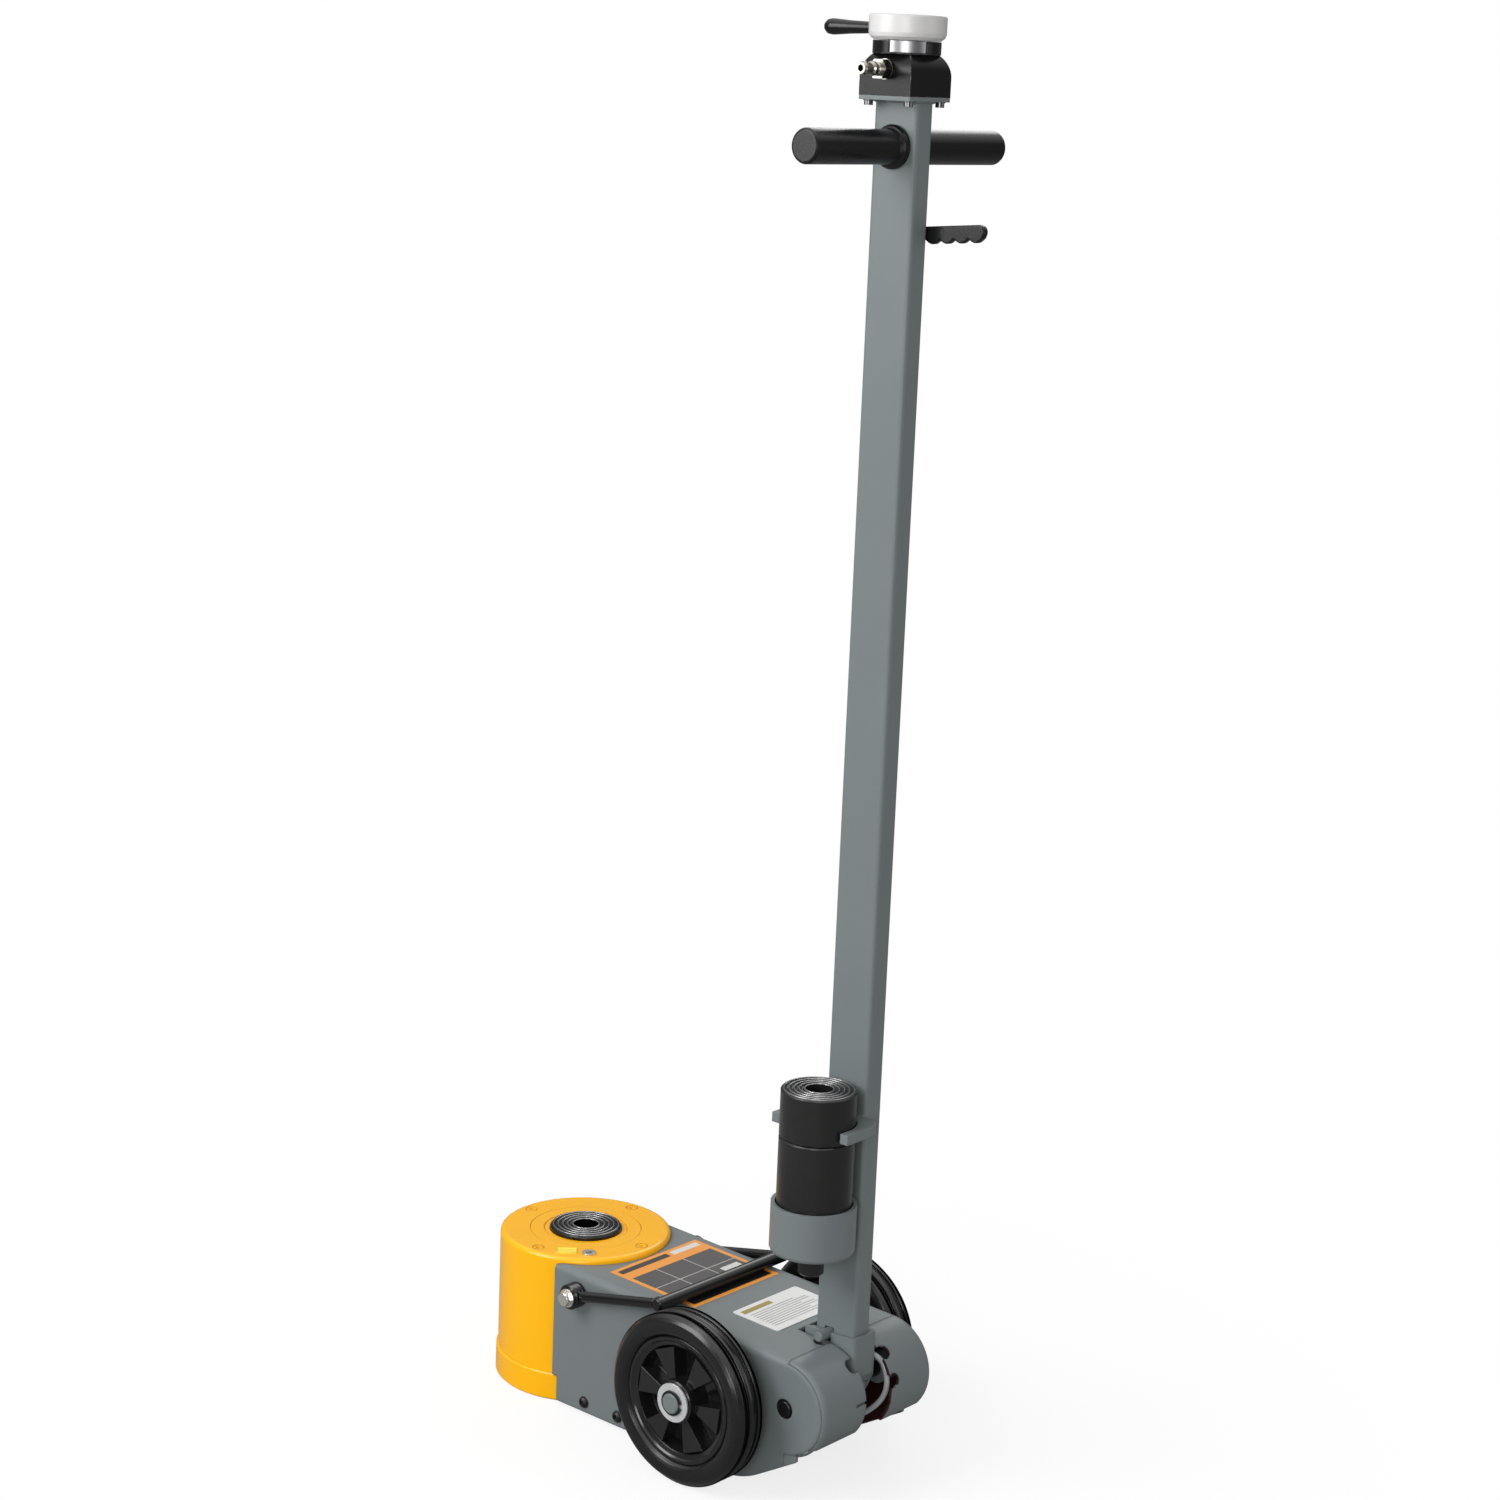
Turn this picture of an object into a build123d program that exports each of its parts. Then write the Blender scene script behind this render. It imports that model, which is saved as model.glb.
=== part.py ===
from build123d import *
import math
import os

os.makedirs("parts", exist_ok=True)

# All sizes are millimetres. The ram axis is the Z axis, the floor is Z = 0 and +X runs back to the handle.

# Fits and gaps
RUN_FIT = 0.05
SLIDE_GAP = 0.5
WELD_GAP = 0.3
SEAT_GAP = 0.3
HOLE_CLEAR = 0.3
PRESS_GAP = 0.1
OVERCUT = 30.0

# Lifting cylinder
HOUSING_R = 92.5
BASE_LEDGE = 2.0
BASE_H = 30.0
BASE_EDGE = 1.5
HOUSING_TOP = 162.5
HOUSING_WALL = 6.0
HOUSING_LID = 10.0
HOUSING_RIM = 5.0
GLAND_WALL = 15.2
GLAND_H = 22.0
PISTON_LIP = 5.0
SLEEVE_WALL = 8.0
SLEEVE_SEAT = 12.0
COVER_SCREW_INSET = 14.0
COVER_SCREW_DEG = 4.0
COVER_SCREW_COUNT = 4
COVER_SCREW_R = 3.0
COVER_HEAD_R = 5.5
COVER_HEAD_H = 5.0
COVER_SOCKET_R = 2.6
FILLER_INSET = 17.3
FILLER_DEG = -43.2
FILLER_R = 5.0
FILLER_FLANGE_R = 7.5
FILLER_SOCKET_R = 3.4

# Two ram stages
SADDLE_R = 39.0
SADDLE_PROUD = 4.0
SADDLE_H = 14.0
RAM1_RIM = 6.0
RAM1_LIFT = 4.0
RAM1_HEAD_H = 18.0
RAM1_FLOOR = 8.0
RAM2_R = 33.0
RAM2_HEAD_H = 14.0
RAM2_LIP = 2.0
SADDLE_BORE_R = 13.4
RIDGE_COUNT = 4
RIDGE_DEPTH = 1.6
SEAL_W = 4.0
SEAL_D = 2.0

# Sheet body
WALL_Y = 87.0
SHEET_T = 4.0
SHEET_BEND_R = 8.0
WALL_BOTTOM = 3.0
WALL_FRONT_X = 39.5
TOP_BELOW_LID = 5.5
BELLY_X = 281.0
BELLY_R = 100.0
TAIL_R = 51.5
TAIL_END_DEG = -41.0
PIVOT_X = 363.3
PIVOT_Z = 98.6
SLOT_HALF = 20.5
SLOT_FRONT_X = 322.0
NOTCH_R = 8.0
NOTCH_Y = 25.0
LOCK_DEG = 97.0
LOCK_STOPS = (0.0, 49.0, 84.0)
SLIT_Y = 36.0
SLIT_Z = (100.0, 103.2)
PIVOT_HOLE_R = 10.5

# Base tongue and its screws
TONGUE_X = (70.0, 160.0)
TONGUE_Z = (6.0, 24.0)
SIDE_SCREW_X = (88.0, 137.0)
SIDE_SCREW_Z = 14.0
SIDE_SCREW_R = 4.0
SIDE_HEAD_R = 6.5
SIDE_HEAD_H = 4.2
SIDE_SCREW_DEEP = 14.0
SIDE_SOCKET_R = 3.0

# Wheels and axle
AXLE_X = 263.8
WHEEL_R = 90.0
WHEEL_OUT_Y = 141.0
TYRE_W = 40.0
TYRE_GROOVE_W = 2.6
TYRE_GROOVE_D = 4.0
TYRE_H = 20.4
RIM_BAND = 5.5
RIM_WELL_R = 55.0
RIM_BEAD = 1.8
SPOKE_BACK = 3.0
SPOKE_COUNT = 6
SPOKE_HALF_DEG = 14.5
SPOKE_ROOT_DEG = 10.0
SPOKE_AT_DEG = -6.0
HUB_R = 22.6
HUB_SPACE = 4.8
AXLE_R = 10.5
AXLE_STUB = 6.5
AXLE_WASHER_R = 20.2
AXLE_WASHER_T = 2.0
CLIP_T = 1.6
CLIP_W = 2.6

# Handle
TUBE_D = 51.0
TUBE_W = 25.0
TUBE_WALL = 2.5
TUBE_CORNER = 4.0
TUBE_BOTTOM = PIVOT_Z - 17.0
TUBE_TOP = 1377.0
PIVOT_R = 8.0
PIVOT_SLEEVE_R = 12.0
PIVOT_BOSS_R = 16.0
PIVOT_BOSS_IN_Y = 56.0
CHEEK_T = 5.0
SOCKET_TOP = 161.0
SOCKET_REAR_BOTTOM = 118.0
CHEEK_FRONT_X = 329.0

# Lock bar and release lever
LEVER_DROP = 124.0
LEVER_PIVOT_X = 348.0
LEVER_ARM = 26.0
LEVER_SWING = 12.0
LEVER_TILT = 5.0
LEVER_PLATE_T = 5.0
LEVER_PLATE_H = 8.0
LEVER_PIN_R = 3.0
LEVER_TONGUE = 40.0
GRIP_START = 3.2
GRIP_LEN = 63.0
GRIP_W = 14.0
GRIP_H = 11.5
FINGER_COUNT = 4
LOCK_BAR_R = 5.5
LOCK_BAR_Y = 31.0
LOCK_ROD_R = 4.0

# Handlebar
BAR_DROP = 42.0
BAR_R = 12.5
BAR_END_Y = 137.5
GRIP_R = 16.3
GRIP_CAP = 3.0
GRIP_FLANGE_R = 20.5
GRIP_FLANGE_T = 6.0

# Adapter holder
ADAPTER_R = 38.0
ADAPTER_SPIGOT_R = 13.0
ADAPTER_SPIGOT_L = 30.0
ADAPTER_EASE = 1.5
LOWER_ADAPTER_H = 114.0
UPPER_ADAPTER_H = 48.5
CUP_WALL = 4.0
CUP_GAP = 1.0
CUP_BOTTOM = 259.5
CUP_H = 50.5
CUP_FLOOR = 5.0
FORK_UP = 5.2
FORK_T = 10.0
FORK_ARM = 9.5
FORK_REACH = 55.5

# Control head
FLANGE_HALF = 30.6
FLANGE_T = 4.0
FLANGE_BOLT_INSET = 7.1
FLANGE_BOLT_R = 2.5
FLANGE_BOLT_DEEP = 14.0
FLANGE_HEAD_R = 4.2
FLANGE_HEAD_H = 4.0
FLANGE_WASHER_R = 5.0
FLANGE_WASHER_T = 1.0
HEAD_INSET = 0.4
HEAD_H = 38.0
HEAD_ARCH_R = 28.0
COLLAR_R = 31.8
COLLAR_H = 12.0
COLLAR_WALL = 1.8
COLLAR_WINDOW_DEG = 70.0
COLLAR_WINDOW_AT = -49.5
KNOB_R = 36.2
KNOB_H = 23.0
SPINDLE_R = 6.0
KNOB_LEVER_OUT = 61.8
KNOB_LEVER_R = 5.2
NIPPLE_UP = 24.0
NIPPLE_THREAD_R = 5.0
NIPPLE_OUT = 36.0

# Bail
BAIL_X = 75.0
BAIL_Z = 133.0
BAIL_BAR_X = 198.5
BAIL_ARM_R = 5.5
BAIL_BAR_R = 7.0
BAIL_BAR_OUT = 14.0
BAIL_EYE_R = 13.5
BAIL_EYE_W = 15.0
BAIL_BOLT_R = 5.0
BAIL_WASHER_R = 10.0
BAIL_WASHER_T = 2.0
BAIL_HEX_R = 8.0
BAIL_HEX_H = 6.0
BAIL_BOLT_DEEP = 10.0

# Pump and air supply
MOTOR_R = 30.0
MOTOR_Z = 45.0
MOTOR_X = (176.0, 312.0)
PUMP_X = (112.0, MOTOR_X[0])
PUMP_HALF_Y = 32.0
PUMP_Z = (TONGUE_Z[1], 76.0)
HOSE_R = 3.0
HOSE_HOLE_R = 4.2
HOSE_BEND = 0.45
HOSE_EXIT_UP = 38.4
PIPE_R = 4.0

# Data plate
PLATE_X = (250.0, 312.0)
PLATE_Y = (-41.0, 59.0)
PLATE_T = 0.8

# Sizes that follow from the ones above
BASE_R = HOUSING_R + BASE_LEDGE
RAM1_R = SADDLE_R + RAM1_RIM
BORE_R = RAM1_R + PISTON_LIP
SLEEVE_R = BORE_R + SLEEVE_WALL
GLAND_R = RAM1_R + GLAND_WALL
COVER_SCREW_PCR = HOUSING_R - COVER_SCREW_INSET
FILLER_PCR = HOUSING_R - FILLER_INSET
FILLER_X = FILLER_PCR * math.cos(math.radians(FILLER_DEG))
FILLER_Y = FILLER_PCR * math.sin(math.radians(FILLER_DEG))
RAM1_BOTTOM = BASE_H - SLEEVE_SEAT + RAM1_LIFT
RAM1_TOP = HOUSING_TOP - 0.8
RAM2_HEAD_R = RAM2_R + RAM2_LIP
SADDLE_TOP = HOUSING_TOP + SADDLE_PROUD
TOP_FRONT_Z = HOUSING_TOP - TOP_BELOW_LID
RIM_R = WHEEL_R - TYRE_H
HUB_OUT_Y = WHEEL_OUT_Y
AXLE_END_Y = HUB_OUT_Y + AXLE_STUB
LEVER_Z = TUBE_TOP - LEVER_DROP
BAR_Z = TUBE_TOP - BAR_DROP
GRIP_END_Y = BAR_END_Y + GRIP_CAP
FLANGE_BOLT_HALF = FLANGE_HALF - FLANGE_BOLT_INSET
HEAD_HALF = FLANGE_HALF - HEAD_INSET
KNOB_LEVER_TIP = KNOB_R + KNOB_LEVER_OUT
BAIL_Y = WALL_Y + BAIL_BAR_OUT
HOSE_EXIT_Z = PIVOT_Z + HOSE_EXIT_UP
TUBE_X = PIVOT_X
TUBE_REAR = TUBE_X + TUBE_D / 2
TUBE_SIDE = TUBE_W / 2
LEVER_Y = TUBE_SIDE + SLIDE_GAP + LEVER_PLATE_T / 2
WALL_IN = WALL_Y - SHEET_T
TAIL_IN_R = TAIL_R - SHEET_T
TOP_TILT = math.asin(((TOP_FRONT_Z - PIVOT_Z) - TAIL_R) / (PIVOT_X - WALL_FRONT_X))
TOP_END = (PIVOT_X + TAIL_R * math.sin(TOP_TILT), PIVOT_Z + TAIL_R * math.cos(TOP_TILT))
LOCK_R = TAIL_R + LOCK_BAR_R + 1.2
LOCK_X = PIVOT_X + LOCK_R * math.cos(math.radians(LOCK_DEG))
LOCK_Z = PIVOT_Z + LOCK_R * math.sin(math.radians(LOCK_DEG))
LOCK_TRAVEL = LEVER_ARM * math.radians(LEVER_SWING)
ROD_X = LEVER_PIVOT_X + LEVER_ARM * math.cos(math.radians(LEVER_TILT))
ROD_PIN_Z = LEVER_Z + LEVER_ARM * math.sin(math.radians(LEVER_TILT))
ADAPTER_Y = -(TUBE_SIDE + ADAPTER_R + CUP_GAP + CUP_WALL)
LOWER_Z = CUP_BOTTOM + CUP_FLOOR + SEAT_GAP
UPPER_Z = LOWER_Z + LOWER_ADAPTER_H + SEAT_GAP
FORK_Z = (LOWER_Z + LOWER_ADAPTER_H + FORK_UP, LOWER_Z + LOWER_ADAPTER_H + FORK_UP + FORK_T)
FORK_END_Y = -TUBE_SIDE - FORK_REACH
HEAD_Z = TUBE_TOP + FLANGE_T
NIPPLE_Z = HEAD_Z + NIPPLE_UP
COLLAR_Z = HEAD_Z + HEAD_H
KNOB_Z = COLLAR_Z + COLLAR_H + SLIDE_GAP
HUB_IN_Y = WALL_Y + HUB_SPACE


def top_z(x):
    """Height of the sloping top sheet at x."""
    return TOP_END[1] + (TOP_END[0] - x) * math.tan(TOP_TILT)


BAIL_BAR_Z = top_z(BAIL_BAR_X) + BAIL_BAR_R + 1.0


def rod_z(r, z0, z1, x=0.0, y=0.0):
    return Pos(x, y, (z0 + z1) / 2) * Cylinder(r, z1 - z0)


def rod_y(r, y0, y1, x, z):
    return Pos(x, (y0 + y1) / 2, z) * Rot(90, 0, 0) * Cylinder(r, abs(y1 - y0))


def rod_x(r, x0, x1, y, z):
    return Pos((x0 + x1) / 2, y, z) * Rot(0, 90, 0) * Cylinder(r, abs(x1 - x0))


def block(x0, x1, y0, y1, z0, z1):
    return Pos((x0 + x1) / 2, (y0 + y1) / 2, (z0 + z1) / 2) * Box(x1 - x0, y1 - y0, z1 - z0)


def turned_z(points, x=0.0, y=0.0):
    """Solid of revolution about a vertical axis from (radius, height) points."""
    face = make_face(Polyline([(r, 0, z) for r, z in points], close=True))
    return Pos(x, y, 0) * revolve(face, Axis.Z, 360)


def turned_y(points, x, z):
    """Solid of revolution about a cross axis from (radius, y) points."""
    face = make_face(Polyline([(r, y, 0) for r, y in points], close=True))
    return Pos(x, 0, z) * revolve(face, Axis.Y, 360)


def profile_y(wire, half):
    """Outline in the XZ plane given to both sides of the middle plane."""
    return extrude(make_face(wire), half, dir=(0, 1, 0), both=True)


def around_pivot(deg, r):
    a = math.radians(deg)
    return (PIVOT_X + r * math.cos(a), 0, PIVOT_Z + r * math.sin(a))


def both_sides(shape):
    """The shape and its mirror image on the other side."""
    return Compound(children=[*solids_of(shape), *solids_of(mirror(shape, Plane.XZ))])


def solids_of(shape):
    return [Solid(s.wrapped) for s in shape.solids()]


def group(*shapes):
    """Several separate solids kept as one piece."""
    return Compound(children=[s for shape in shapes for s in solids_of(shape)])


def ridged_top(r, bore, z_top):
    """Ring cutters for the concentric ridges of a saddle or adapter face."""
    pitch = (r - bore - 3.0) / RIDGE_COUNT
    cut = []
    for i in range(RIDGE_COUNT):
        inner = bore + 2.0 + i * pitch
        tri = [(inner, z_top), (inner + pitch * 0.75, z_top), (inner + pitch * 0.375, z_top - RIDGE_DEPTH)]
        cut.append(turned_z(tri))
    return cut


def save(name, shape):
    export_step(shape, f"parts/{name}.step")


# Base, housing, gland and inner sleeve

def base_block():
    body = turned_z([
        (0, 0), (BASE_R - BASE_EDGE, 0), (BASE_R, BASE_EDGE), (BASE_R, BASE_H - BASE_EDGE),
        (BASE_R - BASE_EDGE, BASE_H), (0, BASE_H),
    ])
    return body - rod_z(SLEEVE_R + SEAT_GAP, BASE_H - SLEEVE_SEAT, BASE_H + 1)


def cover_points():
    return [Vector(COVER_SCREW_PCR, 0).rotate(Axis.Z, COVER_SCREW_DEG + 360 / COVER_SCREW_COUNT * i)
            for i in range(COVER_SCREW_COUNT)]


def reservoir_housing():
    outer = fillet(
        rod_z(HOUSING_R, BASE_H, HOUSING_TOP).edges().sort_by(Axis.Z)[-1], HOUSING_RIM)
    body = outer - rod_z(HOUSING_R - HOUSING_WALL, BASE_H - 1, HOUSING_TOP - HOUSING_LID)
    body -= rod_z(GLAND_R + WELD_GAP, HOUSING_TOP - HOUSING_LID - 1, HOUSING_TOP + 1)
    for p in cover_points():
        body -= rod_z(COVER_SCREW_R + HOLE_CLEAR, HOUSING_TOP - HOUSING_LID - 1, HOUSING_TOP + 1, p.X, p.Y)
        body -= rod_z(COVER_HEAD_R + HOLE_CLEAR, HOUSING_TOP - COVER_HEAD_H - 0.4, HOUSING_TOP + 1, p.X, p.Y)
    body -= rod_z(FILLER_R + HOLE_CLEAR, HOUSING_TOP - HOUSING_LID - 1, HOUSING_TOP + 1, FILLER_X, FILLER_Y)
    body -= rod_z(PIPE_R + HOLE_CLEAR, 0, HOUSING_WALL * 3).moved(
        Location((HOUSING_R - HOUSING_WALL * 2, 0, MOTOR_Z), (0, 90, 0)))
    return body


def cover_screws():
    made = []
    for p in cover_points():
        head = rod_z(COVER_HEAD_R, HOUSING_TOP - COVER_HEAD_H, HOUSING_TOP - 0.2, p.X, p.Y)
        socket = Pos(p.X, p.Y, HOUSING_TOP - 2.2) * extrude(RegularPolygon(COVER_SOCKET_R, 6), COVER_HEAD_H)
        made.append(head - socket + rod_z(
            COVER_SCREW_R, HOUSING_TOP - HOUSING_LID - 8, HOUSING_TOP - COVER_HEAD_H, p.X, p.Y))
    return group(*made)


def filler_plug():
    fx, fy = FILLER_X, FILLER_Y
    head = rod_z(FILLER_FLANGE_R, HOUSING_TOP, HOUSING_TOP + 1.4, fx, fy)
    stem = rod_z(FILLER_R, HOUSING_TOP - HOUSING_LID - 2, HOUSING_TOP, fx, fy)
    socket = Pos(fx, fy, HOUSING_TOP - 3) * extrude(RegularPolygon(FILLER_SOCKET_R, 6), 6)
    return head + stem - socket


def gland_ring():
    z0, z1 = HOUSING_TOP - GLAND_H, HOUSING_TOP
    return turned_z([
        (RAM1_R + RUN_FIT, z0), (GLAND_R, z0), (GLAND_R, z1 - 0.5), (GLAND_R - 0.5, z1),
        (RAM1_R + 0.8, z1), (RAM1_R + RUN_FIT, z1 - 0.8),
    ])


def hydraulic_sleeve():
    z0, z1 = BASE_H - SLEEVE_SEAT, HOUSING_TOP - GLAND_H
    return turned_z([(BORE_R, z0), (SLEEVE_R, z0), (SLEEVE_R, z1), (BORE_R, z1)])


def first_stage_ram():
    z0 = RAM1_BOTTOM
    seat = SADDLE_TOP - SADDLE_H - SLIDE_GAP
    guide = RAM2_R + RUN_FIT
    chamber = RAM2_HEAD_R + RUN_FIT
    head = BORE_R - RUN_FIT
    groove = z0 + RAM1_HEAD_H / 2
    return turned_z([
        (0, z0), (head, z0), (head, groove - SEAL_W / 2), (head - SEAL_D, groove - SEAL_W / 2),
        (head - SEAL_D, groove + SEAL_W / 2), (head, groove + SEAL_W / 2), (head, z0 + RAM1_HEAD_H),
        (RAM1_R, z0 + RAM1_HEAD_H), (RAM1_R, RAM1_TOP - 0.8), (RAM1_R - 0.8, RAM1_TOP),
        (SADDLE_R + SLIDE_GAP, RAM1_TOP), (SADDLE_R + SLIDE_GAP, seat), (guide, seat),
        (guide, seat - GLAND_H), (chamber, seat - GLAND_H), (chamber, z0 + RAM1_FLOOR), (0, z0 + RAM1_FLOOR),
    ])


def piston_seal():
    groove = RAM1_BOTTOM + RAM1_HEAD_H / 2
    inner = BORE_R - RUN_FIT - SEAL_D
    half = SEAL_W / 2 - 0.1
    return turned_z([
        (inner, groove - half), (BORE_R - RUN_FIT, groove - half),
        (BORE_R - RUN_FIT, groove + half), (inner, groove + half),
    ])


def second_stage_ram():
    z0 = RAM1_BOTTOM + RAM1_FLOOR + SLIDE_GAP
    z1 = SADDLE_TOP - SADDLE_H
    body = turned_z([
        (0, z0), (RAM2_HEAD_R, z0), (RAM2_HEAD_R, z0 + RAM2_HEAD_H), (RAM2_R, z0 + RAM2_HEAD_H),
        (RAM2_R, z1), (0, z1),
    ])
    return body - rod_z(SADDLE_BORE_R, z1 - ADAPTER_SPIGOT_L, z1 + 1)


def saddle():
    z0, z1 = SADDLE_TOP - SADDLE_H, SADDLE_TOP
    body = turned_z([
        (SADDLE_BORE_R, z0), (SADDLE_R, z0), (SADDLE_R, z1 - 2.0), (SADDLE_R - 2.0, z1), (SADDLE_BORE_R, z1),
    ])
    for cut in ridged_top(SADDLE_R - 2.0, SADDLE_BORE_R, z1):
        body -= cut
    return body


# Sheet body

def blank_solid(half, inset, front, bend):
    """Filled blank under the top sheet and the tail's round, with its two upper edges rounded."""
    tail = TAIL_R - inset
    end = around_pivot(-70, tail)
    mid = around_pivot(10, tail)
    t0 = (PIVOT_X + tail * math.sin(TOP_TILT), 0, PIVOT_Z + tail * math.cos(TOP_TILT))
    t1 = (front, 0, t0[2] + (t0[0] - front) * math.tan(TOP_TILT))
    low = WALL_BOTTOM - 20
    outline = Curve() + [
        Line(t1, t0), ThreePointArc(t0, mid, end), Line(end, (end[0], 0, low)),
        Line((end[0], 0, low), (front, 0, low)), Line((front, 0, low), t1),
    ]
    body = profile_y(outline.edges(), half)
    rim = [e for e in body.edges() if abs(abs((e @ 0.5).Y) - half) < 0.01 and on_top(e, inset)]
    return fillet(rim, bend)


def on_top(edge, inset):
    """True for the long top edge and the tail's round edge."""
    c = edge @ 0.5
    away = math.hypot(c.X - PIVOT_X, c.Z - PIVOT_Z)
    flat = c.Z > TOP_END[1] - inset - 1 and edge.length > TAIL_R * 2
    return flat or (abs(away - TAIL_R + inset) < 0.5 and edge.length > TAIL_R)


def side_outline():
    """Region of the side walls above the belly that curves up to the tail."""
    rise = math.radians(31)
    low = WALL_BOTTOM
    r = BELLY_R
    end = around_pivot(TAIL_END_DEG, TAIL_R + 1)
    b0 = (BELLY_X, 0, low)
    bm = (BELLY_X + r * math.sin(rise / 2), 0, low + r * (1 - math.cos(rise / 2)))
    b1 = (BELLY_X + r * math.sin(rise), 0, low + r * (1 - math.cos(rise)))
    chin = (end[0] - 7.0, 0, b1[2] + (end[0] - 7.0 - b1[0]) * math.tan(rise))
    far = PIVOT_X + TAIL_R + OVERCUT
    high = TOP_FRONT_Z + OVERCUT
    outline = Curve() + [
        Line((0, 0, low), b0), ThreePointArc(b0, bm, b1), Line(b1, chin), Line(chin, end),
        Line(end, (far, 0, end[2] + 4)), Line((far, 0, end[2] + 4), (far, 0, high)),
        Line((far, 0, high), (0, 0, high)), Line((0, 0, high), (0, 0, low)),
    ]
    return profile_y(outline.edges(), WALL_Y + 10)


def slot_cut():
    """Handle slot through the top and tail, with its lock notches; the last near one is a slit."""
    cut = block(SLOT_FRONT_X, PIVOT_X + TAIL_R + 10, -SLOT_HALF, SLOT_HALF, 0, TOP_FRONT_Z + 10)
    for stop in LOCK_STOPS:
        p = around_pivot(LOCK_DEG - stop, TAIL_R)
        for side in (-1, 1):
            if side < 0 and stop == LOCK_STOPS[-1]:
                cut += block(PIVOT_X, PIVOT_X + TAIL_R + 10, -SLIT_Y, 0, *SLIT_Z)
                continue
            pin = Cylinder(NOTCH_R, OVERCUT)
            cut += Pos(p[0], side * NOTCH_Y, p[2]) * Rot(0, 90 - (LOCK_DEG - stop), 0) * pin
    return cut


def sheet_shell():
    """The whole folded sheet: top, sides and tail in one thickness."""
    outer = blank_solid(WALL_Y, 0.0, WALL_FRONT_X, SHEET_BEND_R)
    inner = blank_solid(WALL_IN, SHEET_T, WALL_FRONT_X - 1, SHEET_BEND_R - SHEET_T)
    return (outer & side_outline()) - inner


def tail_zone(gap):
    """Space of the separate tail plate that is wrapped round the handle pivot."""
    ring = rod_y(TAIL_R + 12, -WALL_Y - 5, WALL_Y + 5, PIVOT_X, PIVOT_Z)
    ring -= rod_y(TAIL_IN_R + WELD_GAP - gap, -WALL_Y - 6, WALL_Y + 6, PIVOT_X, PIVOT_Z)
    front = TOP_END[0] + 0.5 - gap
    return ring & block(front, PIVOT_X + TAIL_R + 20, -WALL_Y - 5, WALL_Y + 5, 0, TOP_FRONT_Z + 20)


def wall_holes():
    made = rod_y(AXLE_R + HOLE_CLEAR, -WALL_Y - 5, WALL_Y + 5, AXLE_X, WHEEL_R)
    made += rod_y(PIVOT_HOLE_R, -WALL_Y - 5, WALL_Y + 5, PIVOT_X, PIVOT_Z)
    made += rod_y(BAIL_BOLT_R + HOLE_CLEAR, -WALL_Y - 5, WALL_Y + 5, BAIL_X, BAIL_Z)
    for x in SIDE_SCREW_X:
        made += rod_y(SIDE_SCREW_R + HOLE_CLEAR, -WALL_Y - 5, WALL_Y + 5, x, SIDE_SCREW_Z)
    return made


def body_and_tail():
    sheet = sheet_shell()
    slot = slot_cut()
    shell = sheet - tail_zone(WELD_GAP)
    shell -= slot
    shell -= wall_holes()
    shell -= rod_z(HOUSING_R + WELD_GAP, -1, HOUSING_TOP + 20)
    shell -= rod_z(BASE_R + WELD_GAP, -1, BASE_H + WELD_GAP)
    shell -= block(0, WALL_FRONT_X + 7, -WALL_Y - 5, WALL_Y + 5, -1, BASE_H + WELD_GAP)
    tail = (sheet & tail_zone(0.0)) - slot
    hem = around_pivot(TAIL_END_DEG, TAIL_R)[2]
    tail -= block(PIVOT_X, PIVOT_X + TAIL_R + 10, -WALL_IN, WALL_IN, 0, hem)
    return max(shell.solids(), key=lambda solid: solid.volume), group(tail)


def base_tongue():
    x0, x1 = TONGUE_X
    body = block(x0, x1, -WALL_IN + WELD_GAP, WALL_IN - WELD_GAP, *TONGUE_Z)
    body -= rod_z(BASE_R + WELD_GAP, -1, BASE_H)
    deep = WALL_IN - SIDE_SCREW_DEEP - 2.0
    for x in SIDE_SCREW_X:
        body -= rod_y(SIDE_SCREW_R, -WALL_Y, -deep, x, SIDE_SCREW_Z)
        body -= rod_y(SIDE_SCREW_R, deep, WALL_Y, x, SIDE_SCREW_Z)
    return body


def side_screws():
    made = []
    for x in SIDE_SCREW_X:
        y = WALL_Y
        dome = turned_y([
            (0, -y - SIDE_HEAD_H), (SIDE_HEAD_R * 0.55, -y - SIDE_HEAD_H * 0.9),
            (SIDE_HEAD_R * 0.85, -y - SIDE_HEAD_H * 0.55), (SIDE_HEAD_R, -y), (0, -y),
        ], x, SIDE_SCREW_Z)
        hexagon = extrude(RegularPolygon(SIDE_SOCKET_R, 6), -2.4)
        socket = Pos(x, -y - SIDE_HEAD_H, SIDE_SCREW_Z) * Rot(90, 0, 0) * hexagon
        shank = rod_y(SIDE_SCREW_R, -y, -WALL_IN + SIDE_SCREW_DEEP, x, SIDE_SCREW_Z)
        made.append(dome - socket + shank)
    return both_sides(group(*made))


# Axle, wheels

def axle():
    bar = rod_y(AXLE_R, -AXLE_END_Y, AXLE_END_Y, AXLE_X, WHEEL_R)
    bar = chamfer(bar.edges(), 1.0)
    at = HUB_OUT_Y + SLIDE_GAP + AXLE_WASHER_T + 0.1
    ring = turned_y([
        (AXLE_R - 1.2, at), (AXLE_R + 1, at),
        (AXLE_R + 1, at + CLIP_T + 0.2), (AXLE_R - 1.2, at + CLIP_T + 0.2),
    ], AXLE_X, WHEEL_R)
    return bar - ring - mirror(ring, Plane.XZ)


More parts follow.
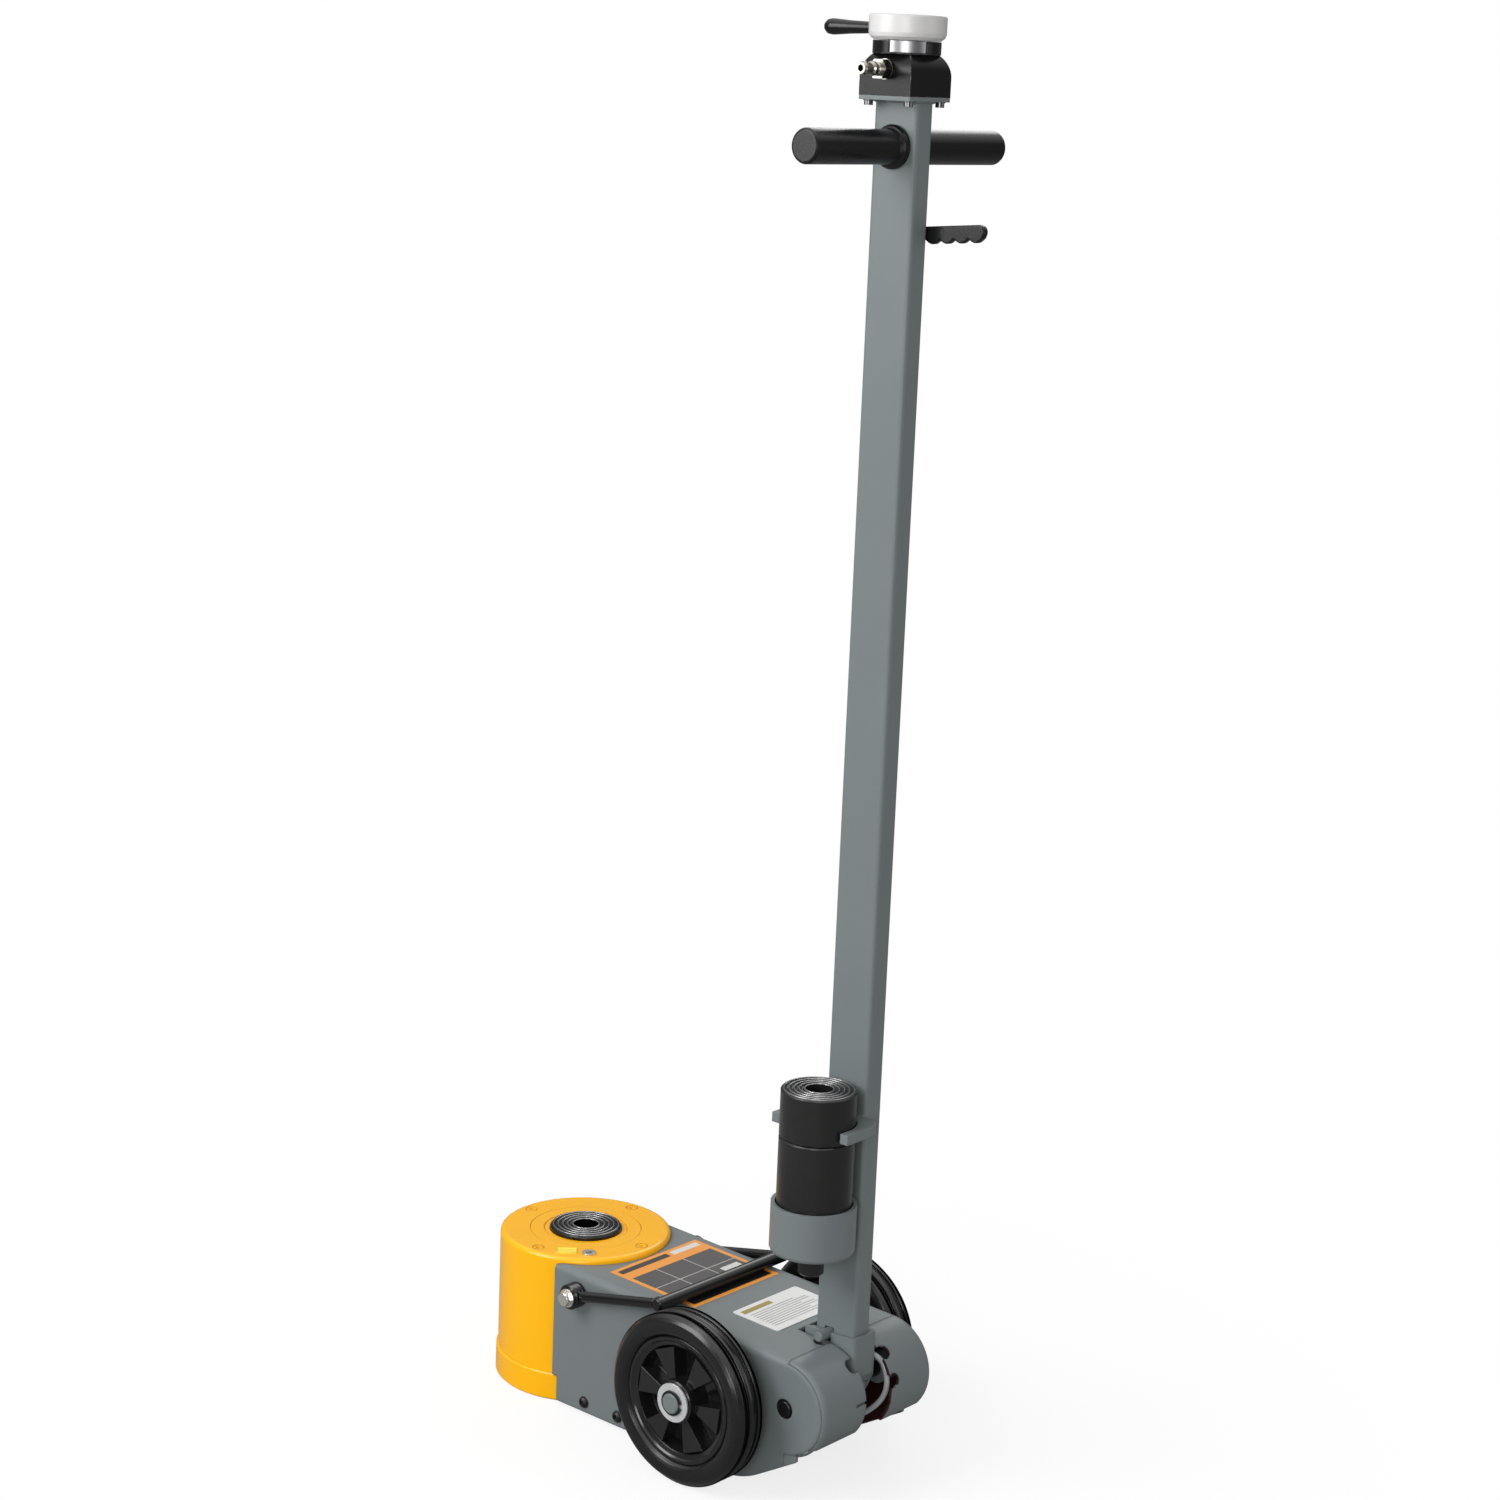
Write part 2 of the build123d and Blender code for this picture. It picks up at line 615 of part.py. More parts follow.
def axle_washers():
    outer_at = HUB_OUT_Y + SLIDE_GAP
    inner_at = WALL_Y + WELD_GAP
    made = []
    for at, thick in ((outer_at, AXLE_WASHER_T), (inner_at, HUB_IN_Y - SLIDE_GAP - inner_at)):
        made.append(turned_y([
            (AXLE_R + 0.1, -at), (AXLE_WASHER_R, -at),
            (AXLE_WASHER_R, -at - thick), (AXLE_R + 0.1, -at - thick),
        ], AXLE_X, WHEEL_R))
    return both_sides(group(*made))


def snap_ring(r, at, x, z):
    """Open retaining ring in a shaft groove, on the -Y side."""
    ring = turned_y([
        (r - 1.0, -at), (r + CLIP_W, -at), (r + CLIP_W, -at - CLIP_T), (r - 1.0, -at - CLIP_T),
    ], x, z)
    gap = block(x, x + r + 6, -at - CLIP_T - 1, -at + 1, z - 2.5, z + 2.5)
    return ring - gap


def axle_clips():
    at = HUB_OUT_Y + SLIDE_GAP + AXLE_WASHER_T + 0.2
    return both_sides(snap_ring(AXLE_R, at, AXLE_X, WHEEL_R))


def tyre():
    out, inn = -WHEEL_OUT_Y, -WHEEL_OUT_Y + TYRE_W
    seat = RIM_R - RIM_BAND / 2
    w = TYRE_GROOVE_W / 2
    third = TYRE_W / 3.2
    mid = (out + inn) / 2
    g0, g1 = mid - third / 2, mid + third / 2

    def groove(at):
        side = [(4.6, 0.0), (2.2, 0.5), (0.8, 1.4), (0.0, TYRE_GROOVE_D)]
        left = [(WHEEL_R - drop, at - w - away) for away, drop in side]
        right = [(WHEEL_R - drop, at + w + away) for away, drop in reversed(side)]
        return left + right

    pts = [
        (seat, out + 4.0 + RIM_BEAD), (seat + 1.0, out + 4.4), (RIM_R, out + 2.2), (RIM_R + 3, out + 0.7),
        (RIM_R + 8, out), (RIM_R + 13, out + 0.6),
        (WHEEL_R - 4, out + 3.0), (WHEEL_R - 1.2, out + 6.5), (WHEEL_R, out + 10.5),
        *groove(g0), *groove(g1),
        (WHEEL_R, inn - 10.5), (WHEEL_R - 1.2, inn - 6.5), (WHEEL_R - 4, inn - 3.0),
        (RIM_R + 13, inn - 0.6), (RIM_R + 8, inn), (RIM_R + 3, inn - 0.7),
        (RIM_R, inn - 2.2), (seat + 1.0, inn - 4.4),
        (seat, inn - 4.0 - RIM_BEAD),
    ]
    return turned_y(pts, AXLE_X, WHEEL_R)


def rim():
    out, inn = -WHEEL_OUT_Y + 4.0, -WHEEL_OUT_Y + TYRE_W - 4.0
    seat = RIM_R - RIM_BAND / 2 - PRESS_GAP
    band = seat - RIM_BAND
    web = out + 25.0
    hub_out, hub_in = -HUB_OUT_Y, -HUB_IN_Y
    body = turned_y([
        (AXLE_R + RUN_FIT, hub_out), (HUB_R - 1.0, hub_out), (HUB_R, hub_out + 1.0), (HUB_R + 2.0, web - 3),
        (RIM_WELL_R, web - 3), (RIM_WELL_R + 1.5, out + SPOKE_BACK + 1), (band, out + 1.6), (band + 1.6, out),
        (seat - RIM_BEAD, out), (seat - 0.5, out + 0.5), (seat, out + RIM_BEAD), (seat, inn), (band, inn),
        (band, web + 3), (HUB_R + 2.0, web + 3), (HUB_R, hub_in), (AXLE_R + RUN_FIT, hub_in),
    ], AXLE_X, WHEEL_R)
    half, narrow = math.radians(SPOKE_HALF_DEG), math.radians(SPOKE_ROOT_DEG)
    r0, r1 = HUB_R - 1.0, RIM_WELL_R + 0.8
    y0 = out + SPOKE_BACK
    for i in range(SPOKE_COUNT):
        mid = math.radians(SPOKE_AT_DEG + 360.0 * i / SPOKE_COUNT)
        root = [(r0 * math.cos(mid + s * narrow), r0 * math.sin(mid + s * narrow)) for s in (-1, 1)]
        tip = [(r1 * math.cos(mid + s * half), r1 * math.sin(mid + s * half)) for s in (1, -1)]
        face = make_face(Polyline([(x, 0, z) for x, z in root + tip], close=True))
        spoke = extrude(face, web - y0, dir=(0, 1, 0))
        body += Pos(AXLE_X, y0, WHEEL_R) * spoke
    return body


# Pivot of the handle

def pivot_pin():
    bar = chamfer(rod_y(PIVOT_R, -WALL_Y - 1, WALL_Y + 1, PIVOT_X, PIVOT_Z).edges(), 0.8)
    at = WALL_Y - 2.6
    ring = turned_y([
        (PIVOT_R - 1.2, at), (PIVOT_R + 1, at),
        (PIVOT_R + 1, at + CLIP_T + 0.2), (PIVOT_R - 1.2, at + CLIP_T + 0.2),
    ], PIVOT_X, PIVOT_Z)
    return bar - ring - mirror(ring, Plane.XZ)


def pivot_bosses():
    ring = turned_y([
        (PIVOT_R + 0.1, -PIVOT_BOSS_IN_Y), (PIVOT_BOSS_R, -PIVOT_BOSS_IN_Y), (PIVOT_BOSS_R, -WALL_IN + 0.1),
        (PIVOT_R + 0.1, -WALL_IN + 0.1),
    ], PIVOT_X, PIVOT_Z)
    return both_sides(ring)


def pivot_clips():
    ring = snap_ring(PIVOT_R, WALL_Y - 2.5, PIVOT_X, PIVOT_Z)
    return both_sides(ring & rod_y(PIVOT_HOLE_R - 0.3, -WALL_Y - 9, 0, PIVOT_X, PIVOT_Z))


def pivot_sleeve():
    half = TUBE_SIDE + CHEEK_T + 0.6
    return turned_y([
        (PIVOT_R + RUN_FIT, -half), (PIVOT_SLEEVE_R, -half),
        (PIVOT_SLEEVE_R, half), (PIVOT_R + RUN_FIT, half),
    ], PIVOT_X, PIVOT_Z)


# Handle tube and socket

def handle_tube():
    outer = extrude(RectangleRounded(TUBE_D, TUBE_W, TUBE_CORNER), TUBE_TOP - TUBE_BOTTOM)
    inner = extrude(
        RectangleRounded(TUBE_D - 2 * TUBE_WALL, TUBE_W - 2 * TUBE_WALL, TUBE_CORNER - TUBE_WALL),
        TUBE_TOP - TUBE_BOTTOM)
    tube = Pos(TUBE_X, 0, TUBE_BOTTOM) * (outer - inner)
    tube -= rod_y(PIVOT_SLEEVE_R + 0.1, -TUBE_W, TUBE_W, PIVOT_X, PIVOT_Z)
    tube -= rod_y(BAR_R + 0.1, -TUBE_W, TUBE_W, TUBE_X, BAR_Z)
    tube -= rod_y(LEVER_PIN_R + 0.1, 0, TUBE_W, LEVER_PIVOT_X, LEVER_Z)
    tube -= lock_slot(LOCK_Z + LOCK_BAR_R + SLIDE_GAP)
    r = LEVER_PIN_R + SLIDE_GAP
    for z in (ROD_PIN_Z - LOCK_TRAVEL, ROD_PIN_Z):
        tube -= rod_y(r, 0, TUBE_W, ROD_X, z)
    tube -= block(ROD_X - r, ROD_X + r, 0, TUBE_W, ROD_PIN_Z - LOCK_TRAVEL, ROD_PIN_Z)
    return tube - hose_hole()


def lock_slot(top):
    """Upright slot for the lock bar through both sides of the handle."""
    r = LOCK_BAR_R + SLIDE_GAP
    low = LOCK_Z - LOCK_TRAVEL
    slot = rod_y(r, -TUBE_W, TUBE_W, LOCK_X, low)
    return slot + block(LOCK_X - r, LOCK_X + r, -TUBE_W, TUBE_W, low, top)


def hose_hole():
    """Slanted hole through the far side of the tube and its socket, on the hose's first run."""
    a, b = (Vector(*p) for p in hose_points()[:2])
    bore = Cylinder(HOSE_HOLE_R, 40, align=(Align.CENTER, Align.CENTER, Align.MIN))
    return Plane(a + (b - a) * 0.25, z_dir=b - a) * bore


def handle_socket():
    rear = TUBE_REAR + WELD_GAP + CHEEK_T
    bottom = PIVOT_Z - 16.0
    pts = [
        (rear, SOCKET_TOP), (rear, SOCKET_REAR_BOTTOM), (PIVOT_X + 20, PIVOT_Z - 4), (PIVOT_X + 12, bottom),
        (PIVOT_X - 12, bottom), (PIVOT_X - 20, PIVOT_Z - 4), (CHEEK_FRONT_X, SOCKET_REAR_BOTTOM + 8),
        (CHEEK_FRONT_X, SOCKET_TOP - 5), (CHEEK_FRONT_X + 8, SOCKET_TOP - 3), (LOCK_X + 12, SOCKET_TOP - 2),
    ]
    half = TUBE_SIDE + 0.1 + CHEEK_T
    body = profile_y(Polyline([(x, 0, z) for x, z in pts], close=True).edges(), half)
    rim = [e for e in body.edges().filter_by(Axis.Z) if e.center().X > rear - 0.1]
    body = fillet(rim, CHEEK_T * 0.9)
    body -= block(0, TUBE_REAR + WELD_GAP, -TUBE_SIDE - 0.1, TUBE_SIDE + 0.1, 0, SOCKET_TOP + 10)
    body -= rod_y(PIVOT_SLEEVE_R + 0.1, -TUBE_W, TUBE_W, PIVOT_X, PIVOT_Z)
    body -= lock_slot(SOCKET_TOP + 10)
    return body - hose_hole()


def adapter_cup():
    r = ADAPTER_R + CUP_GAP
    z0, z1 = CUP_BOTTOM, CUP_BOTTOM + CUP_H
    hole = ADAPTER_SPIGOT_R + CUP_GAP
    cup = turned_z([
        (hole, z0), (r + CUP_WALL - 4.0, z0), (r + CUP_WALL - 1.2, z0 + 1.2), (r + CUP_WALL, z0 + 4.0),
        (r + CUP_WALL, z1), (r, z1), (r, z0 + CUP_FLOOR), (hole, z0 + CUP_FLOOR),
    ], TUBE_X, ADAPTER_Y)
    pad = block(TUBE_X - 12, TUBE_X + 12, ADAPTER_Y + r, -TUBE_SIDE, z0 + 8, z1 - 8)
    return cup + (pad - rod_z(r + 0.5, z0, z1, TUBE_X, ADAPTER_Y))


def adapter_fork():
    z0, z1 = FORK_Z
    r = ADAPTER_R + CUP_GAP
    plate = block(TUBE_X - r - FORK_ARM, TUBE_X + r + FORK_ARM, FORK_END_Y, -TUBE_SIDE, z0, z1)
    corner = [e for e in plate.edges().filter_by(Axis.Z) if e.center().Y > -TUBE_SIDE - 1]
    plate = fillet(corner, 18.0)
    plate -= rod_z(r, z0 - 1, z1 + 1, TUBE_X, ADAPTER_Y)
    return plate - block(TUBE_X - r, TUBE_X + r, FORK_END_Y - 1, ADAPTER_Y, z0 - 1, z1 + 1)


def adapter(z0, height):
    z1 = z0 + height
    e = ADAPTER_EASE
    body = turned_z([
        (0, z0 - ADAPTER_SPIGOT_L), (ADAPTER_SPIGOT_R - e, z0 - ADAPTER_SPIGOT_L),
        (ADAPTER_SPIGOT_R, z0 - ADAPTER_SPIGOT_L + e), (ADAPTER_SPIGOT_R, z0), (ADAPTER_R - e, z0),
        (ADAPTER_R, z0 + e), (ADAPTER_R, z1 - e), (ADAPTER_R - e, z1), (0, z1),
    ])
    body -= rod_z(SADDLE_BORE_R, z1 - ADAPTER_SPIGOT_L - 2.0, z1 + 1)
    for cut in ridged_top(ADAPTER_R - e, SADDLE_BORE_R, z1):
        body -= cut
    return Pos(TUBE_X, ADAPTER_Y, 0) * body


# Control head

def flange_points():
    b = FLANGE_BOLT_HALF
    return [(TUBE_X + sx * b, sy * b) for sx in (-1, 1) for sy in (-1, 1)]


def flange_plate():
    f = FLANGE_HALF
    plate = block(TUBE_X - f, TUBE_X + f, -f, f, TUBE_TOP, HEAD_Z)
    plate = fillet(plate.edges().filter_by(Axis.Z), 2.0)
    for x, y in flange_points():
        plate -= rod_z(FLANGE_BOLT_R + HOLE_CLEAR, TUBE_TOP - 1, HEAD_Z + 1, x, y)
    return plate


def flange_bolts():
    made = []
    for x, y in flange_points():
        under = TUBE_TOP - FLANGE_WASHER_T
        head = rod_z(FLANGE_HEAD_R, under - FLANGE_HEAD_H, under, x, y)
        hexagon = extrude(RegularPolygon(FLANGE_BOLT_R, 6), FLANGE_HEAD_H / 2)
        head -= Pos(x, y, under - FLANGE_HEAD_H) * hexagon
        washer = rod_z(FLANGE_WASHER_R, under, TUBE_TOP, x, y)
        made.append(head + washer + rod_z(FLANGE_BOLT_R, TUBE_TOP, HEAD_Z + FLANGE_BOLT_DEEP, x, y))
    return group(*made)


def head_profile():
    h, z0, z1 = HEAD_HALF, HEAD_Z, HEAD_Z + HEAD_H
    zs = z1 - 20.0
    cx = h - HEAD_ARCH_R
    top = cx + math.sqrt(HEAD_ARCH_R ** 2 - (z1 - zs) ** 2)
    a = math.asin((z1 - zs) / HEAD_ARCH_R) / 2
    mid = (cx + HEAD_ARCH_R * math.cos(a), zs + HEAD_ARCH_R * math.sin(a))
    return h, z0, z1, zs, top, mid


def control_head():
    h, z0, z1, zs, top, mid = head_profile()
    outline = Curve() + [
        Line((-h, 0, z0), (h, 0, z0)), Line((h, 0, z0), (h, 0, zs)),
        ThreePointArc((h, 0, zs), (mid[0], 0, mid[1]), (top, 0, z1)), Line((top, 0, z1), (-top, 0, z1)),
        ThreePointArc((-top, 0, z1), (-mid[0], 0, mid[1]), (-h, 0, zs)), Line((-h, 0, zs), (-h, 0, z0)),
    ]
    arch = profile_y(outline.edges(), h)
    body = arch & (Rot(0, 0, 90) * arch)
    body = Pos(TUBE_X, 0, 0) * body
    for x, y in flange_points():
        body -= rod_z(FLANGE_BOLT_R + PRESS_GAP, HEAD_Z - 1, HEAD_Z + FLANGE_BOLT_DEEP + 1, x, y)
    body -= rod_y(NIPPLE_THREAD_R + PRESS_GAP, -h - 1, -h + 12, TUBE_X, NIPPLE_Z)
    return body


def valve_core():
    core = rod_z(COLLAR_R - COLLAR_WALL, COLLAR_Z, COLLAR_Z + COLLAR_H, TUBE_X)
    return core - rod_z(SPINDLE_R + RUN_FIT, COLLAR_Z + 2, COLLAR_Z + COLLAR_H + 1, TUBE_X)


def head_collar():
    ring = rod_z(COLLAR_R, COLLAR_Z, COLLAR_Z + COLLAR_H, TUBE_X)
    ring -= rod_z(COLLAR_R - COLLAR_WALL + 0.1, COLLAR_Z - 1, COLLAR_Z + COLLAR_H + 1, TUBE_X)
    reach = COLLAR_R * 2
    half = math.radians(COLLAR_WINDOW_DEG / 2)
    wedge = make_face(Polyline([
        (0, 0, 0), (reach * math.cos(half), -reach * math.sin(half), 0),
        (reach * math.cos(half), reach * math.sin(half), 0)], close=True))
    wedge = Rot(0, 0, COLLAR_WINDOW_AT) * extrude(wedge, COLLAR_H, dir=(0, 0, 1))
    return ring - Pos(TUBE_X, 0, COLLAR_Z + 1.5) * wedge


def control_knob():
    z0, z1 = KNOB_Z, KNOB_Z + KNOB_H
    return turned_z([
        (0, z0), (KNOB_R - 5.0, z0), (KNOB_R - 1.2, z0 + 3.0), (KNOB_R, z0 + 6.5),
        (KNOB_R, z1 - 2.0), (KNOB_R - 0.6, z1 - 0.6),
        (KNOB_R - 2.0, z1), (KNOB_R - 6.0, z1), (KNOB_R - 8.0, z1 - 1.0), (0, z1 - 1.0),
    ], TUBE_X) - rod_z(SPINDLE_R, z0 - 1, z0 + 14, TUBE_X) - rod_x(
        KNOB_LEVER_R, TUBE_X - KNOB_R - 1, TUBE_X - KNOB_R + 16, 0, KNOB_Z + KNOB_H * 0.46)


def knob_spindle():
    return rod_z(SPINDLE_R, COLLAR_Z + 3, KNOB_Z + 13.5, TUBE_X)


def knob_lever():
    r = KNOB_LEVER_R
    root, tip = KNOB_R - 15.0, KNOB_LEVER_TIP
    pts = [
        (0, root), (r - 0.2, root), (r, KNOB_R), (r + 0.2, KNOB_R + 8),
        (r + 1.0, tip - 30), (r + 2.0, tip - 16),
        (r + 2.4, tip - 9), (r + 1.7, tip - 4), (r - 0.6, tip - 1), (r - 3.2, tip), (0, tip),
    ]
    face = make_face(Polyline([(-along, 0, out) for out, along in pts], close=True))
    return Pos(TUBE_X, 0, KNOB_Z + KNOB_H * 0.46) * revolve(face, Axis.X, 360)


def air_nipple():
    y0 = -HEAD_HALF
    y1 = y0 - NIPPLE_OUT
    tail = turned_y([
        (0, y0 + 10), (NIPPLE_THREAD_R, y0 + 10), (NIPPLE_THREAD_R, y0),
        (9.5, y0), (9.5, y0 - 1.5), (6.5, y0 - 1.5),
        (6.5, y0 - 14), (5.4, y0 - 15), (5.4, y0 - 17), (6.8, y0 - 18.5), (6.8, y0 - 21),
        (5.0, y0 - 22.5), (5.0, y1 + 8),
        (6.2, y1 + 6), (6.2, y1 + 3), (5.2, y1), (3.2, y1), (3.2, y1 + 22), (0, y1 + 22),
    ], TUBE_X, NIPPLE_Z)
    nut = Pos(TUBE_X, y0 - 3.5, NIPPLE_Z) * Rot(90, 0, 0) * extrude(RegularPolygon(10.0, 6), 8.0)
    nut -= rod_y(6.0, y0, y1, TUBE_X, NIPPLE_Z)
    return tail + nut


def handlebar():
    bar = rod_y(BAR_R, -BAR_END_Y, BAR_END_Y, TUBE_X, BAR_Z)
    return bar - rod_y(BAR_R - 2.0, -BAR_END_Y - 1, BAR_END_Y + 1, TUBE_X, BAR_Z)


def hand_grip():
    y0 = -TUBE_SIDE
    y1 = -GRIP_END_Y
    bore = BAR_R + 0.05
    return turned_y([
        (bore, y0), (GRIP_FLANGE_R - 1.0, y0), (GRIP_FLANGE_R, y0 - 1.0),
        (GRIP_FLANGE_R, y0 - GRIP_FLANGE_T + 2),
        (GRIP_FLANGE_R - 1.6, y0 - GRIP_FLANGE_T), (GRIP_R + 0.6, y0 - GRIP_FLANGE_T - 1.0),
        (GRIP_R, y0 - GRIP_FLANGE_T - 4), (GRIP_R, y1 + 2.5), (GRIP_R - 0.8, y1 + 0.8), (GRIP_R - 2.5, y1),
        (0, y1), (0, y1 + 2.9), (bore, y1 + 2.9),
    ], TUBE_X, BAR_Z)


# Release lever and lock

def lever_at_rest(shape):
    """Turn a level piece of the release lever up to its rest angle."""
    about = Pos(LEVER_PIVOT_X, 0, LEVER_Z)
    return about * Rot(0, -LEVER_TILT, 0) * Pos(-LEVER_PIVOT_X, 0, -LEVER_Z) * shape


def lever_plate():
    h = LEVER_PLATE_H / 2
    y0, y1 = LEVER_Y - LEVER_PLATE_T / 2, LEVER_Y + LEVER_PLATE_T / 2
    x1 = TUBE_REAR + GRIP_START + LEVER_TONGUE
    rod_at = LEVER_PIVOT_X + LEVER_ARM
    plate = block(LEVER_PIVOT_X, x1, y0, y1, LEVER_Z - h, LEVER_Z + h)
    plate += rod_y(h + 3.0, y0, y1, LEVER_PIVOT_X, LEVER_Z) + rod_y(h + 3.5, y0, y1, rod_at, LEVER_Z)
    plate -= rod_y(LEVER_PIN_R + RUN_FIT, 0, y1 + 1, LEVER_PIVOT_X, LEVER_Z)
    return lever_at_rest(plate - rod_y(LEVER_PIN_R + 1.2, 0, y1 + 1, rod_at, LEVER_Z))


def lever_pin():
    inside = TUBE_SIDE - TUBE_WALL - 0.1
    outside = LEVER_Y + LEVER_PLATE_T / 2 + SLIDE_GAP
    x, z = LEVER_PIVOT_X, LEVER_Z
    inner = rod_y(LEVER_PIN_R + 2.0, inside - 2.0, inside, x, z)
    outer = rod_y(LEVER_PIN_R + 2.5, outside, outside + 2.0, x, z)
    return inner + outer + rod_y(LEVER_PIN_R, inside - 1.0, outside + 1.0, x, z)


def lever_grip():
    x0 = TUBE_REAR + GRIP_START
    x1 = TUBE_REAR + GRIP_START + GRIP_LEN
    z1 = LEVER_Z + GRIP_H / 2 + 0.9
    z0 = z1 - GRIP_H
    y0, y1 = LEVER_Y - GRIP_W / 2, LEVER_Y + GRIP_W / 2
    body = block(x0, x1, y0, y1, z0, z1)
    tip = [e for e in body.edges().filter_by(Axis.Y) if e.center().X > x1 - 0.1]
    body = fillet(tip, 4.5)
    pitch = (GRIP_LEN - 4.0) / FINGER_COUNT
    bulge = pitch * 0.72
    for i in range(FINGER_COUNT):
        xc = x0 + 2.0 + pitch * (i + 0.5)
        lobe = rod_y(bulge, y0, y1, xc, z0 + bulge * 0.72)
        body += lobe & block(xc - pitch / 2, xc + pitch / 2, y0 - 1, y1 + 1, z0 - 10, z0 + 2)
    t = LEVER_PLATE_T / 2 + 0.02
    h = LEVER_PLATE_H / 2 + 0.02
    end = TUBE_REAR + GRIP_START + LEVER_TONGUE + 0.02
    return lever_at_rest(body - block(x0 - 1, end, LEVER_Y - t, LEVER_Y + t, LEVER_Z - h, LEVER_Z + h))


def lock_rod():
    z0 = LOCK_Z + LOCK_BAR_R + 8.0
    rod = rod_z(LOCK_ROD_R, z0, ROD_PIN_Z, ROD_X)
    head = block(ROD_X - 5, ROD_X + 5, -5, 5, ROD_PIN_Z - 6, ROD_PIN_Z + 6)
    pin = rod_y(LEVER_PIN_R, 0, LEVER_Y + LEVER_PLATE_T / 2 + 1.5, ROD_X, ROD_PIN_Z)
    return rod + head + pin


def lock_bar():
    bar = rod_y(LOCK_BAR_R, -LOCK_BAR_Y, LOCK_BAR_Y, LOCK_X, LOCK_Z)
    bar = chamfer(bar.edges().filter_by(GeomType.CIRCLE), 1.0)
    half = TUBE_SIDE - TUBE_WALL - SLIDE_GAP
    z1 = LOCK_Z + LOCK_BAR_R + 8.0
    arm = block(LOCK_X - 8, ROD_X + 6, -half, half, LOCK_Z + LOCK_BAR_R - 2.0, z1)
    return bar + arm


# Bail

def bail_eye_y():
    return -(WALL_Y + SLIDE_GAP), -(WALL_Y + SLIDE_GAP + BAIL_EYE_W)


def bail_eyes():
    y0, y1 = bail_eye_y()
    n = 3
    pitch = BAIL_EYE_W / n
    pts = [(BAIL_BOLT_R + RUN_FIT, y0), (BAIL_EYE_R - 1.2, y0)]
    for i in range(n):
        a = y0 - pitch * i
        pts += [(BAIL_EYE_R, a - 1.0), (BAIL_EYE_R, a - pitch + 1.0), (BAIL_EYE_R - 1.2, a - pitch)]
    pts += [(BAIL_BOLT_R + RUN_FIT, y1)]
    eye = turned_y(pts, BAIL_X, BAIL_Z)
    return both_sides(eye)


def bail_arm_line():
    """Start and end of the near arm's axis, outside the eye and inside the cross bar."""
    y = sum(bail_eye_y()) / 2
    return Vector(BAIL_X, y, BAIL_Z), Vector(BAIL_BAR_X, -BAIL_Y + BAIL_BAR_R, BAIL_BAR_Z)


def bail_arms():
    start, end = bail_arm_line()
    d = (end - start).normalized()
    length = (end - start).length
    arm = Plane(start, z_dir=d) * Pos(0, 0, length / 2) * Cylinder(BAIL_ARM_R, length)
    y0, y1 = bail_eye_y()
    arm -= rod_y(BAIL_EYE_R + 0.01, y0 + 1, y1 - 1, BAIL_X, BAIL_Z)
    arm -= rod_y(BAIL_BAR_R + 0.01, -BAIL_Y * 2, BAIL_Y * 2, BAIL_BAR_X, BAIL_BAR_Z)
    return both_sides(arm)


def bail_bar():
    bar = rod_y(BAIL_BAR_R, -BAIL_Y, BAIL_Y, BAIL_BAR_X, BAIL_BAR_Z)
    return fillet(bar.edges().filter_by(GeomType.CIRCLE), 3.0)


def bail_bolts():
    y0, y1 = bail_eye_y()
    seat = y1 - SLIDE_GAP
    out = seat - BAIL_WASHER_T
    end = out - BAIL_HEX_H
    shank = rod_y(BAIL_BOLT_R, -WALL_IN + BAIL_BOLT_DEEP, seat, BAIL_X, BAIL_Z)
    washer = rod_y(BAIL_WASHER_R, seat, out, BAIL_X, BAIL_Z)
    hexagon = Pos(BAIL_X, out, BAIL_Z) * Rot(90, 0, 0) * extrude(RegularPolygon(BAIL_HEX_R, 6), BAIL_HEX_H)
    flat = BAIL_HEX_R * math.cos(math.radians(30))
    dome = turned_y([
        (0, out), (BAIL_HEX_R + 1, out), (BAIL_HEX_R + 1, end + 2.0), (flat - 0.4, end), (0, end),
    ], BAIL_X, BAIL_Z)
    return both_sides(shank + washer + (hexagon & dome))


# Pump, air motor and lines

def pump_block():
    body = block(PUMP_X[0], PUMP_X[1] - 0.2, -PUMP_HALF_Y, PUMP_HALF_Y, *PUMP_Z)
    body = chamfer(body.edges().filter_by(Axis.X), 3.0)
    return body - rod_x(PIPE_R + 0.1, PUMP_X[0] - 1, PUMP_X[0] + 12, 0, MOTOR_Z)


def air_motor():
    x0, x1 = MOTOR_X
    pts = [
        (0, x0), (MOTOR_R, x0), (MOTOR_R, x1 - 8), (MOTOR_R - 3, x1 - 3), (MOTOR_R - 8, x1), (0, x1),
    ]
    face = make_face(Polyline([(x, 0, r) for r, x in pts], close=True))
    port = rod_x(HOSE_R + HOLE_CLEAR, x1 - 8, x1 + 1, 0, MOTOR_Z)
    return Pos(0, 0, MOTOR_Z) * revolve(face, Axis.X, 360) - port


def pressure_pipe():
    return rod_x(PIPE_R, SLEEVE_R + WELD_GAP, PUMP_X[0] + 11, 0, MOTOR_Z)


def hose_points():
    """Corners of the air hose's route, from the handle's foot round the pivot to the motor."""
    x1 = MOTOR_X[1]
    return [
        (TUBE_X - 13.3, -6.0, HOSE_EXIT_Z + 3), (TUBE_X + 23.7, 30.0, HOSE_EXIT_Z - 1),
        (TUBE_X + 40.7, 29.0, 105.0),
        (TUBE_X + 33.7, 26.0, 80.0), (TUBE_X + 7.7, 14.0, 58.0), (TUBE_X - 18.3, 4.0, 48.0),
        (x1 + 13.0, 0, MOTOR_Z), (x1 - 7.0, 0, MOTOR_Z),
    ]


